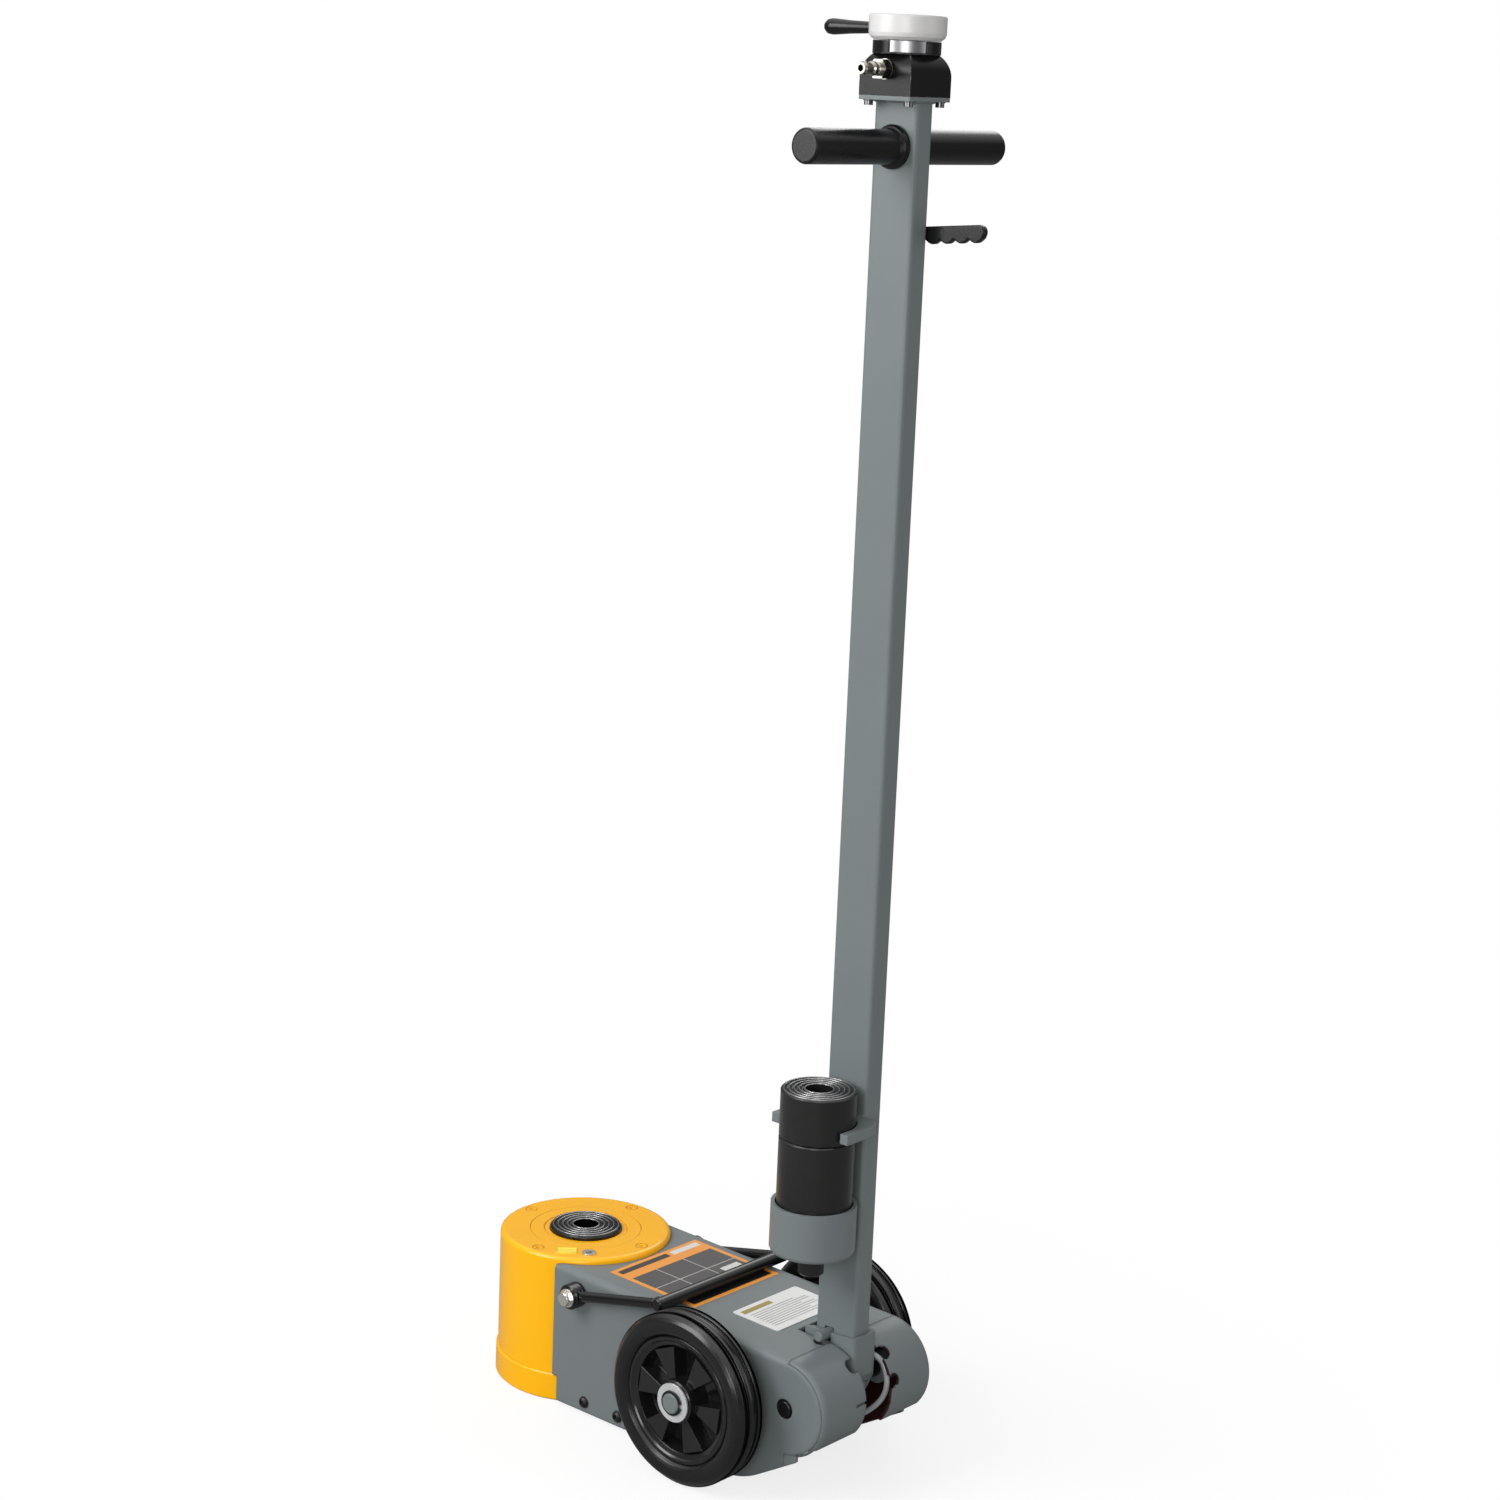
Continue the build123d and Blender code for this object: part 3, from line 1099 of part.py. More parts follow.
def hose_radii(points):
    """Radius of the arc at each corner, as large as the two runs beside it allow."""
    made = []
    for a, b, c in zip(points, points[1:], points[2:]):
        before, after = Vector(b) - Vector(a), Vector(c) - Vector(b)
        half_turn = math.radians(before.get_angle(after)) / 2
        made.append(HOSE_BEND * min(before.length, after.length) / math.tan(half_turn))
    return made


def air_hose():
    points = hose_points()
    radii = hose_radii(points)
    print("hose radii", [round(r, 1) for r in radii])
    path = FilletPolyline(*points, radius=radii)
    return sweep(Plane(path @ 0, z_dir=path % 0) * Circle(HOSE_R), path)


def data_plate():
    x0, x1 = PLATE_X
    plate = block(x0, x1, *PLATE_Y, 0, PLATE_T)
    plate = fillet(plate.edges().filter_by(Axis.Z), 3.0)
    mid = (x0 + x1) / 2
    plate = Pos(-mid, 0, 0) * plate
    return Pos(mid, 0, top_z(mid) + 0.02) * Rot(0, math.degrees(TOP_TILT), 0) * plate


def main():
    save("base_block", base_block())
    save("reservoir_housing", reservoir_housing())
    save("cover_screws", cover_screws())
    save("filler_plug", filler_plug())
    save("gland_ring", gland_ring())
    save("hydraulic_sleeve", hydraulic_sleeve())
    save("first_stage_ram", first_stage_ram())
    save("piston_seal", piston_seal())
    save("second_stage_ram", second_stage_ram())
    save("saddle", saddle())
    shell, tail = body_and_tail()
    save("body_shell", shell)
    save("tail_plate", tail)
    save("base_tongue", base_tongue())
    save("side_screws", side_screws())
    save("axle", axle())
    save("axle_washers", axle_washers())
    save("axle_clips", axle_clips())
    near_tyre, near_rim = tyre(), rim()
    save("tyre_left", near_tyre)
    save("rim_left", near_rim)
    save("tyre_right", mirror(near_tyre, Plane.XZ))
    save("rim_right", mirror(near_rim, Plane.XZ))
    save("pivot_pin", pivot_pin())
    save("pivot_bosses", pivot_bosses())
    save("pivot_clips", pivot_clips())
    save("pivot_sleeve", pivot_sleeve())
    save("handle_tube", handle_tube())
    save("handle_socket", handle_socket())
    save("adapter_cup", adapter_cup())
    save("adapter_fork", adapter_fork())
    save("lower_adapter", adapter(LOWER_Z, LOWER_ADAPTER_H))
    save("upper_adapter", adapter(UPPER_Z, UPPER_ADAPTER_H))
    save("flange_plate", flange_plate())
    save("flange_bolts", flange_bolts())
    save("control_head", control_head())
    save("valve_core", valve_core())
    save("head_collar", head_collar())
    save("control_knob", control_knob())
    save("knob_spindle", knob_spindle())
    save("knob_lever", knob_lever())
    save("air_nipple", air_nipple())
    save("handlebar", handlebar())
    grip = hand_grip()
    save("grip_left", grip)
    save("grip_right", mirror(grip, Plane.XZ))
    save("lever_plate", lever_plate())
    save("lever_pin", lever_pin())
    save("lever_grip", lever_grip())
    save("lock_rod", lock_rod())
    save("lock_bar", lock_bar())
    save("bail_eyes", bail_eyes())
    save("bail_arms", bail_arms())
    save("bail_bar", bail_bar())
    save("bail_bolts", bail_bolts())
    save("pump_block", pump_block())
    save("air_motor", air_motor())
    save("pressure_pipe", pressure_pipe())
    save("air_hose", air_hose())
    save("data_plate", data_plate())


if __name__ == "__main__":
    main()
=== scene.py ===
"""Wheeled air-hydraulic jack: finishes, welds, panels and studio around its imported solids."""

from __future__ import annotations

import logging
import math
import random
from dataclasses import dataclass, field, replace
from enum import Enum
from typing import Iterable, Mapping, Sequence

import bpy
from bpy.types import Material, Node, NodeOutputs, NodeTree, Object
from bpy.types import NodeSocket as Socket
from mathutils import Matrix, Vector


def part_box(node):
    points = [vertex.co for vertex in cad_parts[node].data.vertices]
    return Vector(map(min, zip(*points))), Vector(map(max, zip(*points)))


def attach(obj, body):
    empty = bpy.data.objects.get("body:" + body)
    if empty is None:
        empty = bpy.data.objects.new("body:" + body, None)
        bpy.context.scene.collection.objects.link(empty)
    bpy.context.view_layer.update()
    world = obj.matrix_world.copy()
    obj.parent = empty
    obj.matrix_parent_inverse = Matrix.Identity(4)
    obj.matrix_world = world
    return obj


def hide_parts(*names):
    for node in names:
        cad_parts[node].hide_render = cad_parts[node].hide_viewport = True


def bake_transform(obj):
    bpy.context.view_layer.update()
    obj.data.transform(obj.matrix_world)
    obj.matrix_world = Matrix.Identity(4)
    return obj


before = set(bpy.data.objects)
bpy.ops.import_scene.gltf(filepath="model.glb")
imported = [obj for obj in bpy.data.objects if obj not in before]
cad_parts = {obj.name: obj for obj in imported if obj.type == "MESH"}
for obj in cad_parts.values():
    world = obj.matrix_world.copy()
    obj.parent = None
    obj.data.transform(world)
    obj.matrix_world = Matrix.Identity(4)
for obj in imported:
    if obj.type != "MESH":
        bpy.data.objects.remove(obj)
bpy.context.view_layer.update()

LOG = logging.getLogger("jack")
TUBE_X = 0.3633
ADAPTER_Y = -0.0555
NIPPLE_Z = 1.405
Colour = tuple[float, float, float]
Point = tuple[float, float, float]
Pair = tuple[float, float]
Inputs = Mapping[str | int, object]


class Effect(Enum):
    """Surface effects that several finishes share: name, extra input and outputs of the node group."""

    COAT_RIPPLE = ("coat_ripple", "Scale", "Height")
    SOFT_EDGE = ("soft_edge", "Radius", "Normal", "Edge")
    HANDLING = ("handling_marks", "Scale", "Tone", "Gloss")
    TURNING = ("turning_rings", "Pitch", "Height")
    GRAIN = ("moulded_grain", "Scale", "Height")
    DUST = ("dust_film", "Amount", "Mask")


class Axis(Enum):
    """Turning axis of a piece, as the Euler angles that bring it to Z."""

    Y = (math.radians(90), 0.0, 0.0)
    Z = (0.0, 0.0, 0.0)


@dataclass(frozen=True)
class Wiring:
    """Adds and links the nodes of one shader tree."""

    tree: NodeTree

    def fill(self, node: Node, inputs: Inputs) -> None:
        """Links outputs to a node's inputs, or sets plain values on them.

        Args:
            node: The node.
            inputs: Output or plain value for each input, by its name or number.
        """
        for key, value in inputs.items():
            if isinstance(value, Socket):
                self.tree.links.new(value, node.inputs[key])
            else:
                node.inputs[key].default_value = value

    def node(self, kind: str, inputs: Inputs | None = None, **settings: object) -> Node:
        """Adds one node.

        Args:
            kind: Blender's name of the node type, after the word ShaderNode.
            inputs: What its inputs get.
            settings: Properties to set on it.

        Returns:
            The new node.
        """
        made = self.tree.nodes.new("ShaderNode" + kind)
        for key, value in settings.items():
            setattr(made, key, value)
        self.fill(made, inputs or {})
        return made

    def math(self, operation: str, a: object, b: object = 0.0, clamp: bool = False) -> Socket:
        """Adds a Math node and returns its value."""
        return self.node("Math", {0: a, 1: b}, operation=operation, use_clamp=clamp).outputs[0]

    def weigh(self, a: object, share_a: object, b: object, share_b: object) -> Socket:
        """Sum of two values, each times its share."""
        return self.math("ADD", self.math("MULTIPLY", a, share_a), self.math("MULTIPLY", b, share_b))

    def vector(self, operation: str, a: object, b: object = (0.0, 0.0, 0.0)) -> NodeOutputs:
        """Adds a Vector Math node and returns its outputs."""
        return self.node("VectorMath", {0: a, 1: b}, operation=operation).outputs

    def parts(self, vector: object) -> NodeOutputs:
        """Splits a vector into X, Y and Z."""
        return self.node("SeparateXYZ", {0: vector}).outputs

    def facing(self) -> Socket:
        """Normal of the surface, before any bump."""
        return self.node("NewGeometry").outputs["Normal"]

    def blend(self, factor: object, a: object, b: object) -> Socket:
        """Mixes two colours and returns the result."""
        return self.node("Mix", {0: factor, 6: rgba(a), 7: rgba(b)}, data_type="RGBA").outputs[2]

    def noise(self, vector: object, scale: object, detail: float = 2.0) -> Socket:
        """Adds a noise texture and returns its value."""
        return self.node("TexNoise", {"Vector": vector, "Scale": scale, "Detail": detail}).outputs[0]

    def span(self, value: object, low: float, high: float, to_low: float = 0.0,
             to_high: float = 1.0) -> Socket:
        """Maps a value from one range to another, clamped."""
        return self.node("MapRange", dict(enumerate((value, low, high, to_low, to_high)))).outputs[0]

    def placed(self, vector: object, centre: Point = (0, 0, 0), turn: Point = (0, 0, 0),
               scale: Point = (1, 1, 1)) -> Socket:
        """Moves, turns and stretches coordinates so that centre comes to the origin."""
        shifted = self.vector("SUBTRACT", vector, centre)[0]
        return self.node("Mapping", {"Vector": shifted, "Rotation": turn, "Scale": scale}).outputs[0]

    def radius(self, vector: object) -> Socket:
        """Distance of coordinates from their Z axis."""
        return self.vector("LENGTH", self.vector("MULTIPLY", vector, (1, 1, 0))[0])["Value"]


def rgba(value: object) -> object:
    """Gives a plain colour its fourth number and leaves sockets alone."""
    return (*value, 1.0) if isinstance(value, tuple) and len(value) == 3 else value


class EffectLibrary:
    """Builds each shared effect once, as a node group."""

    FINE_RIPPLE = 3.3
    RIPPLE_SHARES = (0.75, 0.25)
    BEVEL_SAMPLES = 4
    EDGE_BEND = (0.995, 0.86)
    EDGE_PATCH_SCALE = 190.0
    EDGE_PATCH_SPAN = (0.42, 0.62)
    RUB_TURN = (0.3, 0.5, 0.2)
    RUB_STRETCH = (1.0, 14.0, 14.0)
    FINE_RUB = 5.0
    RUB_SPAN = (0.66, 0.8)
    GLOSS_SHARES = (0.8, 0.4)
    RING_SHARE = 0.3
    RING_NOISE = 0.37
    GRAIN_SPECK = 0.5
    DUST_FACING = (0.2, 1.0)
    DUST_PATCH_SCALE = 38.0
    DUST_PATCH_SPAN = (0.35, 0.75)

    def place(self, wiring: Wiring, effect: Effect, **inputs: object) -> NodeOutputs:
        """Adds the effect's group to a material.

        Args:
            wiring: Wiring of the material's tree.
            effect: Which effect.
            inputs: Values or sockets for the group's inputs.

        Returns:
            The outputs of the group.
        """
        tree = bpy.data.node_groups.get(effect.value[0]) or self.group(*effect.value)
        return wiring.node("Group", inputs, node_tree=tree).outputs

    def group(self, name: str, extra: str, *outputs: str) -> NodeTree:
        """Builds an effect's group.

        Args:
            name: Name of the group, and of the method that fills it.
            extra: Name of the number that it takes beside its coordinates.
            outputs: Names of its outputs: a vector for the normal, numbers for the others.

        Returns:
            The group.
        """
        tree = bpy.data.node_groups.new(name, "ShaderNodeTree")
        for way, names in (("INPUT", ("Vector", extra)), ("OUTPUT", outputs)):
            for socket in names:
                kind = "NodeSocketVector" if socket in ("Vector", "Normal") else "NodeSocketFloat"
                tree.interface.new_socket(name=socket, in_out=way, socket_type=kind)
        given, out = tree.nodes.new("NodeGroupInput").outputs, tree.nodes.new("NodeGroupOutput")
        w = Wiring(tree)
        w.fill(out, dict(zip(outputs, getattr(self, "_" + name)(w, given["Vector"], given[extra]))))
        return tree

    def _coat_ripple(self, w: Wiring, at: Socket, scale: Socket) -> list[Socket]:
        """Faint waviness of sprayed paint."""
        broad = w.noise(at, scale, 1.0)
        fine = w.noise(at, w.math("MULTIPLY", scale, self.FINE_RIPPLE))
        return [w.weigh(broad, self.RIPPLE_SHARES[0], fine, self.RIPPLE_SHARES[1])]

    def _soft_edge(self, w: Wiring, at: Socket, radius: Socket) -> list[Socket]:
        """Rounded look of edges, and a mask of where they are."""
        bevel = w.node("Bevel", {"Radius": radius}, samples=self.BEVEL_SAMPLES).outputs[0]
        bent = w.span(w.vector("DOT_PRODUCT", bevel, w.facing())["Value"], *self.EDGE_BEND)
        patchy = w.span(w.noise(at, self.EDGE_PATCH_SCALE, 3.0), *self.EDGE_PATCH_SPAN)
        return [bevel, w.math("MULTIPLY", bent, patchy)]

    def _handling_marks(self, w: Wiring, at: Socket, scale: Socket) -> list[Socket]:
        """Uneven tone and gloss from handling, with a few fine rub lines."""
        cloud = w.noise(at, scale, 4.0)
        long = w.placed(at, turn=self.RUB_TURN, scale=self.RUB_STRETCH)
        rubs = w.span(w.noise(long, w.math("MULTIPLY", scale, self.FINE_RUB)), *self.RUB_SPAN)
        return [cloud, w.weigh(cloud, self.GLOSS_SHARES[0], rubs, self.GLOSS_SHARES[1])]

    def _turning_rings(self, w: Wiring, at: Socket, pitch: Socket) -> list[Socket]:
        """Fine rings that a lathe leaves round the Z axis of the coordinates."""
        along = w.math("DIVIDE", w.math("ADD", w.radius(at), w.parts(at)["Z"]), pitch)
        wave = w.math("SINE", w.math("MULTIPLY", along, math.tau))
        step = w.math("MULTIPLY", along, self.RING_NOISE)
        rough = w.node("TexNoise", {"W": step, "Scale": 1.0}, noise_dimensions="1D").outputs[0]
        return [w.math("ADD", w.math("MULTIPLY", wave, self.RING_SHARE), rough)]

    def _moulded_grain(self, w: Wiring, at: Socket, scale: Socket) -> list[Socket]:
        """Fine leathery grain of a moulded surface."""
        cells = w.node("TexVoronoi", {"Vector": at, "Scale": scale}, feature="SMOOTH_F1").outputs["Distance"]
        return [w.math("ADD", cells, w.math("MULTIPLY", w.noise(at, scale, 3.0), self.GRAIN_SPECK))]

    def _dust_film(self, w: Wiring, at: Socket, amount: Socket) -> list[Socket]:
        """Thin dust on faces that look upwards."""
        up = w.span(w.parts(w.facing())["Z"], *self.DUST_FACING)
        patch = w.span(w.noise(at, self.DUST_PATCH_SCALE, 5.0), *self.DUST_PATCH_SPAN)
        return [w.math("MULTIPLY", w.math("MULTIPLY", up, patch), amount)]


EFFECTS = EffectLibrary()


@dataclass(frozen=True)
class Turned:
    """Lathe rings on a finish: axis, a point on it, pitch and depth in metres."""

    axis: Axis = Axis.Z
    centre: Point = (0.0, 0.0, 0.0)
    pitch: float = 0.0009
    depth: float = 0.00003


@dataclass(frozen=True)
class RimPaint:
    """Second colour above a height, as on a painted end face."""

    colour: Colour
    above: float
    roughness: float = 0.3


@dataclass(frozen=True)
class Finish:
    """One finish: its colour, gloss and the surface detail that goes with it. Lengths in metres."""

    TONE_SPAN = (0.25, 0.75)
    GLOSS_SPAN = (0.1, 0.9)
    LEAST_ROUGHNESS = 0.02
    INSIDE_FACING = -0.7
    DUST_COLOUR = (0.42, 0.4, 0.37)
    DUST_ROUGHENS = 0.5

    name: str
    colour: Colour
    roughness: float
    metallic: float = 0.0
    coat: float = 0.0
    coat_roughness: float = 0.08
    specular: float = 0.5
    tone: float = 0.1
    gloss: float = 0.1
    marks_scale: float = 9.0
    ripple_scale: float = 420.0
    ripple_depth: float = 0.0
    grain_scale: float = 1500.0
    grain_depth: float = 0.0
    edge_radius: float = 0.0008
    edge_colour: Colour = (0.5, 0.5, 0.5)
    edge_tint: float = 0.0
    dust: float = 0.0
    turned: Turned | None = None
    rim: RimPaint | None = None
    inner: Colour | None = None

    def make(self) -> Material:
        """Builds the material with all of the finish's nodes."""
        mat = bpy.data.materials.new(self.name)
        mat.use_nodes = True
        w = Wiring(mat.node_tree)
        place = w.node("TexCoord").outputs["Object"]
        marks = EFFECTS.place(w, Effect.HANDLING, Vector=place, Scale=self.marks_scale)
        dark = tuple(c * (1.0 - self.tone) for c in self.colour)
        pale = tuple(min(1.0, c * (1.0 + self.tone)) for c in self.colour)
        colour = w.blend(w.span(marks["Tone"], *self.TONE_SPAN), dark, pale)
        low = max(self.LEAST_ROUGHNESS, self.roughness - self.gloss / 2)
        high = min(1.0, self.roughness + self.gloss / 2)
        rough = w.span(marks["Gloss"], *self.GLOSS_SPAN, low, high)
        metal: object = self.metallic
        if self.rim is not None:
            top = w.math("GREATER_THAN", w.parts(place)["Z"], self.rim.above)
            below = w.math("SUBTRACT", 1.0, top)
            colour = w.blend(top, colour, self.rim.colour)
            rough = w.weigh(rough, below, top, self.rim.roughness)
            metal = w.math("MULTIPLY", below, self.metallic)
        # Colour of the inside faces; on the body it is red primer darkened with painted shade.
        if self.inner is not None:
            colour = w.blend(self._inside(w, place), colour, self.inner)
        edge = EFFECTS.place(w, Effect.SOFT_EDGE, Radius=self.edge_radius, Vector=place)
        # Edge colour mixed in at the edges; on the body paint this is a painted highlight along the bends.
        if self.edge_tint > 0:
            colour = w.blend(w.math("MULTIPLY", edge["Edge"], self.edge_tint), colour, self.edge_colour)
        if self.dust > 0:
            film = EFFECTS.place(w, Effect.DUST, Vector=place, Amount=self.dust)["Mask"]
            colour = w.blend(film, colour, self.DUST_COLOUR)
            rough = w.math("ADD", rough, w.math("MULTIPLY", film, self.DUST_ROUGHENS), True)
        w.fill(mat.node_tree.nodes["Principled BSDF"], {
            "Base Color": colour, "Roughness": rough, "Metallic": metal, "Coat Weight": self.coat,
            "Coat Roughness": self.coat_roughness, "Specular IOR Level": self.specular,
            "Normal": self._relief(w, place, edge["Normal"])})
        return mat

    def _inside(self, w: Wiring, place: object) -> Socket:
        """Mask of faces that look forwards, down or towards the middle, as inside the folded body.

        Args:
            w: Wiring of the material.
            place: Object coordinates.

        Returns:
            1 on those faces and 0 elsewhere.
        """
        facing, at = w.parts(w.facing()), w.parts(place)
        across = w.math("MULTIPLY", facing["Y"], w.math("SIGN", at["Y"]))
        least = w.math("MINIMUM", across, w.math("MINIMUM", facing["X"], facing["Z"]))
        return w.math("LESS_THAN", least, self.INSIDE_FACING)

    def _relief(self, w: Wiring, place: object, normal: object) -> object:
        """Chains the bumps of paint ripple, grain and turning.

        Args:
            w: Wiring of the material.
            place: Object coordinates.
            normal: Normal that the first bump starts from.

        Returns:
            The normal after the last bump.
        """
        layers = [(self.ripple_depth, Effect.COAT_RIPPLE, {"Vector": place, "Scale": self.ripple_scale}),
                  (self.grain_depth, Effect.GRAIN, {"Vector": place, "Scale": self.grain_scale})]
        if self.turned is not None:
            about = w.placed(place, self.turned.centre, self.turned.axis.value)
            layers.append((self.turned.depth, Effect.TURNING, {"Vector": about, "Pitch": self.turned.pitch}))
        for depth, effect, inputs in layers:
            if depth > 0:
                height = EFFECTS.place(w, effect, **inputs)["Height"]
                bump = {"Strength": 1.0, "Distance": depth, "Height": height, "Normal": normal}
                normal = w.node("Bump", bump).outputs["Normal"]
        return normal


def printed(name: str, colour: Colour, roughness: float = 0.36, tone: float = 0.03) -> Finish:
    """Finish of a thin printed film."""
    return Finish(name, colour, roughness, tone=tone, edge_radius=0.0002)


YELLOW: Colour = (0.98, 0.475, 0.001)
GREY: Colour = (0.165, 0.187, 0.192)


class Paint(Enum):
    """The jack's finishes."""

    YELLOW_PAINT = Finish(
        "sprayed_yellow", YELLOW, 0.24, specular=0.38, tone=0.025, gloss=0.05, ripple_depth=0.00007,
        edge_radius=0.0016, edge_colour=(0.98, 0.52, 0.03), edge_tint=0.3)
    # Darkened copy of the yellow: painted shade in the gaps round the lid screws.
    SEAM = Finish("screw_gap_painted_shade", (0.26, 0.1, 0.002), 0.4, specular=0.2)
    GREY_PAINT = Finish(
        "sprayed_grey", GREY, 0.34, specular=0.22, tone=0.025, gloss=0.05, ripple_scale=620.0,
        ripple_depth=0.00004, edge_radius=0.0014, edge_colour=(0.24, 0.26, 0.265), edge_tint=0.5, dust=0.02)
    # Body paint: its lighter edge colour over the wide soft edge is a painted highlight along the sheet's bends.
    BODY_PAINT = replace(
        GREY_PAINT, name="sprayed_grey_painted_edge_highlight_primer_shade_inside", edge_radius=0.0035, edge_tint=0.4,
        # Its dark red inside is red primer darkened with painted shade.
        inner=(0.03, 0.008, 0.008))
    BLACK_GLOSS = Finish(
        "gloss_black_paint", (0.005, 0.005, 0.0053), 0.18, specular=0.35, coat=0.1, tone=0.15,
        ripple_depth=0.00004, edge_radius=0.001)
    GRIP_PLASTIC = Finish(
        "grip_plastic", (0.004, 0.004, 0.0042), 0.28, specular=0.3, tone=0.15, gloss=0.12, grain_scale=1900.0,
        grain_depth=0.00003, edge_radius=0.0012)
    RIM_PLASTIC = Finish(
        "rim_plastic", (0.009, 0.009, 0.0093), 0.16, tone=0.12, grain_scale=900.0, grain_depth=0.00002,
        edge_radius=0.0014)
    TYRE_RUBBER = Finish(
        "tyre_rubber", (0.006, 0.0058, 0.0058), 0.24, specular=0.45, tone=0.18, gloss=0.16, grain_scale=1300.0,
        grain_depth=0.00004, edge_radius=0.0014, dust=0.03)
    ANODISED = Finish(
        "black_anodised", (0.005, 0.005, 0.0053), 0.3, specular=0.22, grain_scale=2600.0, grain_depth=0.00001,
        edge_radius=0.0013, edge_colour=(0.3, 0.3, 0.31), edge_tint=0.9)
    BURNISHED = Finish(
        "burnished_steel", (0.019, 0.0187, 0.0185), 0.2, metallic=0.4, tone=0.2, gloss=0.12,
        edge_radius=0.0009, edge_colour=(0.2, 0.2, 0.2), edge_tint=0.5,
        turned=Turned(Axis.Z, (TUBE_X, ADAPTER_Y, 0.0)))
    SADDLE_STEEL = Finish(
        "saddle_steel", (0.005, 0.0048, 0.0048), 0.16, metallic=0.4, tone=0.2, gloss=0.12, edge_radius=0.0009,
        edge_colour=(0.16, 0.16, 0.16), edge_tint=0.5, turned=Turned())
    # Lighter steel on the ridge crests: a painted highlight.
    CREST_STEEL = Finish("crest_painted_highlight", (0.32, 0.32, 0.32), 0.2, metallic=0.9)
    CHROME = Finish(
        "ground_steel", (0.62, 0.63, 0.65), 0.14, metallic=1.0, tone=0.06, turned=Turned(depth=0.000006))
    RAM_ONE = replace(CHROME, name="ground_steel_painted_end", rim=RimPaint(YELLOW, 0.1608))
    ZINC = Finish(
        "zinc_plate", (0.74, 0.76, 0.77), 0.3, metallic=0.55, gloss=0.16, marks_scale=60.0, grain_scale=3000.0,
        grain_depth=0.00001, edge_radius=0.0006)
    PLATED_BOLT = Finish(
        "plated_bolt", (0.7, 0.68, 0.64), 0.22, metallic=0.95, gloss=0.12, edge_colour=(0.05, 0.05, 0.05),
        edge_tint=0.7)
    BOLT_STEEL = Finish(
        "bolt_steel", (0.15, 0.15, 0.155), 0.26, metallic=0.95, tone=0.15, gloss=0.14, marks_scale=70.0,
        edge_radius=0.0005)
    BLACK_STEEL = Finish(
        "black_oxide", (0.011, 0.011, 0.012), 0.36, metallic=0.35, tone=0.15, gloss=0.12, edge_radius=0.0006,
        edge_colour=(0.15, 0.15, 0.16), edge_tint=0.6)
    WHITE_PLASTIC = Finish(
        "moulded_white", (0.62, 0.615, 0.605), 0.34, tone=0.02, gloss=0.08, grain_scale=1700.0,
        grain_depth=0.00002, edge_radius=0.001)
    ALUMINIUM = Finish(
        "turned_aluminium", (0.36, 0.36, 0.37), 0.36, metallic=1.0, tone=0.05,
        turned=Turned(Axis.Z, (TUBE_X, 0.0, 0.0), depth=0.00002))
    NICKEL = Finish(
        "nickel_plate", (0.32, 0.3, 0.27), 0.24, metallic=1.0, tone=0.06, edge_radius=0.0004,
        turned=Turned(Axis.Y, (TUBE_X, 0.0, NIPPLE_Z), depth=0.00001))
    RED_OXIDE = Finish(
        "red_oxide_paint", (0.13, 0.012, 0.01), 0.45, tone=0.15, gloss=0.15, ripple_depth=0.00008)
    HOSE = Finish(
        "polished_hose", (0.4, 0.41, 0.43), 0.16, coat=0.3, tone=0.05, gloss=0.06, edge_radius=0.0003)
    LABEL_ORANGE = printed("label_orange", (0.8, 0.3, 0.03))
    LABEL_GREY = printed("label_dark_grey", (0.05, 0.046, 0.046), tone=0.05)
    LABEL_BLACK = printed("label_black", (0.008, 0.008, 0.008), 0.34, 0.05)
    LABEL_PALE = printed("label_pale", (0.66, 0.66, 0.64), 0.38)
    LABEL_YELLOW = printed("label_yellow", (0.88, 0.7, 0.06))
    SILVER_FOIL = Finish(
        "silver_foil", (0.66, 0.66, 0.65), 0.42, metallic=0.35, tone=0.05, gloss=0.15, marks_scale=40.0,
        edge_radius=0.0003)
    PRINT_GREY = printed("print_grey", (0.25, 0.25, 0.25), 0.45)
    PRINT_OLIVE = printed("print_olive", (0.3, 0.22, 0.035), 0.42, 0.05)

    def material(self) -> Material:
        """The finish's material, made at first use."""
        return bpy.data.materials.get(self.value.name) or self.value.make()


def dress(finish: Paint, *nodes: str) -> None:
    """Gives solids of the frame a finish.

    Args:
        finish: The finish.
        nodes: Names of the solids.
    """
    for name in nodes:
        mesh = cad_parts[name].data
        mesh.materials.clear()
        mesh.materials.append(finish.material())


